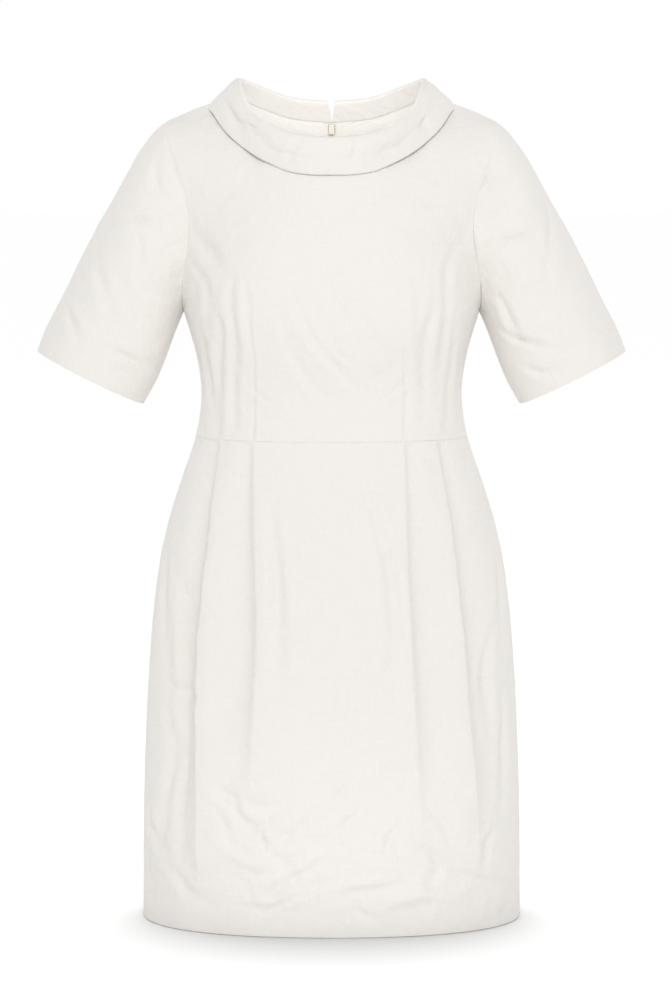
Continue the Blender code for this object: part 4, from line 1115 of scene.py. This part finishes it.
def above_cloth(places, grids):
    """How high each place lies over the nearest cloth, and the way towards that cloth."""
    ground = np.concatenate([grid.reshape(-1, 3) for grid in grids])
    ways = np.concatenate([way_out(grid).reshape(-1, 3) for grid in grids])
    tree = KDTree(len(ground))
    for number, place in enumerate(ground.tolist()):
        tree.insert(place, number)
    tree.balance()
    found = [tree.find(place)[1] for place in places.reshape(-1, 3).tolist()]
    towards = ground[found].reshape(places.shape) - places
    distance = np.linalg.norm(towards, axis=-1)
    straight = -np.sum(towards * ways[found].reshape(places.shape), axis=-1)
    signed = np.where(straight > -0.5 * distance, distance, -distance)
    return np.where(straight > 0.7 * distance, straight, signed), unit(towards)


def laid_down(under, fold_row, grids):
    """The underside of the collar with its edge resting on these grids, and its room there."""
    shorter = 1.0 - SHORTER_IN_FRONT * smooth_step(-under[fold_row, :, 1] / 0.03)
    fall = under[fold_row] + (under[fold_row:] - under[fold_row]) * shorter[:, None]
    part = np.linspace(0.0, 1.0, len(fall))[:, None] ** 1.2
    gap, towards = above_cloth(fall, grids)
    most = MOST_DROP - LESS_DROP_BEHIND * smooth_step(under[fold_row, :, 1] / 0.03)
    drop = np.maximum(gap[-1] - EDGE_GAP, 0.0) * part
    drop = np.minimum(np.minimum(drop, np.maximum(gap - LEAST_GAP, 0.0)), most)
    moved = np.pad(towards * drop[..., None], ((0, 0), (EVENED_OVER, EVENED_OVER), (0, 0)), mode="edge")
    count = drop.shape[1]
    fall = fall + np.mean([moved[:, start:start + count] for start in range(2 * EVENED_OVER + 1)], axis=0)
    room = np.full(under.shape[:-1], 1.0)
    room[fold_row:] = above_cloth(fall, grids)[0]
    print("the collar's edge comes down by up to", round(float(drop.max()), 4), "m")
    print("least room under it:", round(float(room.min()), 4), "m")
    return np.concatenate([under[:fold_row], fall]), room


top_rows = steps(0.2, 1.0, 150)[:, None]
top_columns = np.linspace(-1.0, 1.0, 360)[None, :]
underside, room = laid_down(underside, STAND_ROWS + FOLD_ROWS, (bodice(top_columns, top_rows, False),
                                                                bodice(top_columns[:, ::-1], top_rows, True)))

# %% [markdown]
# The top side is the underside moved through the cloth. Soft waves and a few slanting
# creases go on the top side of the fall, and the edge gets a half circle of points, so that
# it catches the light as a turned edge does.

# %% Close the collar round its edge
CREASED = 1.6
ALWAYS_LEFT = 0.0009
FALL_ROWS = (14.0, 7.0)
EDGE_ROWS = (25.0, 10.0)
EDGE_STRAIGHTENED = 0.65
FRONT_REACH = 0.025
COLLAR_WAVES = ((0.0024, 0.045, 41.0), (0.0008, 0.020, 7.0))


def collar_piece(under, room):
    """The collar as one closed sheet: underside, round edge and top side."""
    through = -way_out(under)
    row = np.arange(len(under))[:, None]
    on_fall = smooth_step((row - FALL_ROWS[0]) / FALL_ROWS[1])
    straight_edge = 1.0 - EDGE_STRAIGHTENED * smooth_step((row - EDGE_ROWS[0]) / EDGE_ROWS[1])
    in_front = smooth_step(-under[..., 1] / FRONT_REACH)
    height = CREASED * sum(crease_height(under, crease, -1.0) for crease in COLLAR_CREASES) * in_front
    height += sum(size * wander(under, reach, seed) for size, reach, seed in COLLAR_WAVES)
    height *= on_fall * straight_edge
    under = under + through * np.maximum(height, np.minimum(ALWAYS_LEFT - room, 0.0))[..., None]
    top = under + through * COLLAR_THICKNESS
    edge_way = unit(under[-1] - under[-2])
    middle = 0.5 * (under[-1] + top[-1])
    arm = 0.5 * (under[-1] - top[-1])
    radius = np.linalg.norm(arm, axis=-1, keepdims=True)
    turned = [middle + arm * math.cos(angle) + edge_way * radius * math.sin(angle)
              for angle in np.radians((30.0, 60.0, 90.0, 120.0, 150.0))]
    return np.concatenate([under, np.stack(turned), top[::-1]])


def closed_sheet(name, grid, material):
    """A mesh from a grid that turns back on itself, closed at its foot and at both ends."""
    rows, columns = grid.shape[:2]
    index = np.arange(rows * columns).reshape(rows, columns)
    foot = grid_faces(index[[-1, 0]])
    ends = []
    for column, order in ((0, 1), (columns - 1, -1)):
        for low in range(rows // 2):
            high = rows - 1 - low
            ends.append(index[[low, low + 1, high - 1, high], column][::order].tolist())
    faces = np.concatenate([grid_faces(index), foot]).tolist() + [list(dict.fromkeys(face)) for face in ends]
    return new_piece(name, grid, faces, material, grain_map(grid), 60.0)


collar_linen = closed_sheet("collar_linen", collar_piece(underside, room), linen)
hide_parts("collar")
print("collar has", 2 * len(collar_linen.data.polygons), "triangles")

# %% [markdown]
# ## The zip
# The zip is sewn behind the centre back seam. Its twill tapes lie against the inside of the
# cloth, and stand apart for the slider at the top. Its coil is one nylon thread on each side,
# bent into small loops that lock with the loops of the other side.

# %% Lay the tapes and the coil
ZIP_TOP = -0.0335
ZIP_BOTTOM = -0.600
ZIP_OPENS = -0.0457
TAPE_NEAR = 0.0009
TAPE_BESIDE_SLIDER = 0.0049
TAPE_FAR = 0.0126
TAPE_DEPTH = 0.0010
TAPE_THICKNESS = 0.0008
COIL_DEPTH = 0.0027
COIL_PLACE = 0.0008
COIL_HALF_WIDTH = 0.0013
COIL_HALF_DEPTH = 0.0007
COIL_PITCH = 0.0015
COIL_THREAD = 0.0003
COIL_SIDES = 5
LOOP_STEPS = 12

tape_twill, tree = new_material("zip_tape_twill", Roughness=0.8, IOR=1.5, Sheen_Weight=0.1)
ribs = bands(tree, add_node(tree, "ShaderNodeUVMap", uv_map="grain").outputs[0], 0.0009, "DIAGONAL")
two_tones(tree, ribs, "#e2dfd8", "#eae7e1")
feed(tree, "Normal", raised(tree, ribs, 0.0001))
nylon, tree = new_material("nylon_zip_coil", Roughness=0.38, IOR=1.53)
two_tones(tree, cloudy(tree, 600.0), "#dcd8cb", "#e9e6dc")


def centre_back(heights, x):
    """Places on the outside of the cloth, this far from the centre back seam, at rows of heights."""
    neck = NECK_HEIGHTS["seam"][-1]
    rises = np.where(heights < UNDERARM, (heights - UNDERARM) / (UNDERARM - WAIST_SEAM),
                     (heights - UNDERARM) / (neck - UNDERARM))
    over = np.linspace(0.0, 0.16, 9)
    upper = bodice(over[None, :], np.maximum(rises, -1.0)[:, None], True)
    lower = torso(180.0 - 90.0 * over[None, :], np.minimum(heights, WAIST_SEAM)[:, None])
    rows = np.where((heights >= WAIST_SEAM)[:, None, None], upper, lower)
    x = np.broadcast_to(x, (len(rows), np.shape(x)[-1]))
    y, z = [np.stack([np.interp(place, row[:, 0], row[:, axis]) for row, place in zip(rows, x)])
            for axis in (1, 2)]
    return points(x, y, z)


zip_rows = np.concatenate([np.linspace(ZIP_BOTTOM, ZIP_OPENS, 150),
                           np.linspace(ZIP_OPENS + 0.0006, ZIP_TOP, 8)])
near = np.where(zip_rows > ZIP_OPENS, TAPE_BESIDE_SLIDER, TAPE_NEAR)[:, None]
tape_grid = centre_back(zip_rows, TAPE_FAR + (near - TAPE_FAR) * np.linspace(0.0, 1.0, 7)[None, :])
for name, grid in (("zip_tape_right", tape_grid), ("zip_tape_left", tape_grid[:, ::-1] * MIRROR)):
    tape = shell(name + "_twill", grid - way_out(grid) * TAPE_DEPTH, TAPE_THICKNESS, tape_twill)
    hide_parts(name)
    seam = grid[:, 3] - way_out(grid)[:, 3] * (TAPE_DEPTH + TAPE_THICKNESS)
    stitches(name + "_stitches", seam, np.zeros_like(seam), *ZIP_STITCH)


def coil(name, side):
    """One nylon thread bent into loops along the centre back."""
    loops = int((ZIP_OPENS - ZIP_BOTTOM) / COIL_PITCH)
    spin = np.linspace(0.0, 2.0 * math.pi * loops, LOOP_STEPS * loops + 1)
    down = ZIP_OPENS - (ZIP_OPENS - ZIP_BOTTOM) * spin / spin[-1]
    seam = centre_back(down[::LOOP_STEPS], np.array([[0.0]]))[:, 0]
    depth = np.interp(-down, -seam[:, 2], seam[:, 1]) - COIL_DEPTH
    swing = np.cos(spin + (0.0 if side > 0 else math.pi)) * side
    line = points(side * (COIL_PLACE - COIL_HALF_WIDTH * swing), depth + COIL_HALF_DEPTH * np.sin(spin), down)
    along = unit(np.gradient(line, axis=0))
    one = unit(np.cross(along, np.array((0.0, 0.0, 1.0))))
    places = line[:, None] + COIL_THREAD * circle(COIL_SIDES, one, np.cross(along, one))
    index = np.arange(places.size // 3).reshape(places.shape[:2])
    faces = round_faces(index).tolist() + [index[0, ::-1].tolist(), index[-1].tolist()]
    new_piece(name, places, faces, nylon)
    print(name, "has", loops, "loops")


coil("zip_coil_right", 1.0)
coil("zip_coil_left", -1.0)

# %% [markdown]
# The slider and its pull are cast metal with a coat of cream lacquer, close to the linen in
# colour. The lacquer is glossier than the cloth and has the faint specks of a sprayed coat.

# %% Lacquer the slider and the pull
lacquer, tree = new_material("cream_lacquered_metal", Roughness=0.32, IOR=1.5, Coat_Weight=0.4,
                             Coat_Roughness=0.15)
two_tones(tree, cloudy(tree, 900.0), "#c4beae", "#cec8ba")
for node in ("zip_slider", "zip_pull"):
    for place in frame["nodes"][node].material_slots:
        place.material = lacquer
print("zip finished")

# %% [markdown]
# ## The cut of the cloth
# Every piece of cloth is now made. None of them is a rectangle.

print("all cloth pieces made")

# %% [markdown]
# The lights from behind and the low strip shine on the dress alone, so the floor keeps its one
# soft shadow: every visible piece is named to them here.

# %% Name the dress pieces to the lights
for piece in list(bpy.context.scene.objects):
    if piece.type == "MESH" and piece is not floor and not piece.hide_render:
        lit_cloth.objects.link(piece)
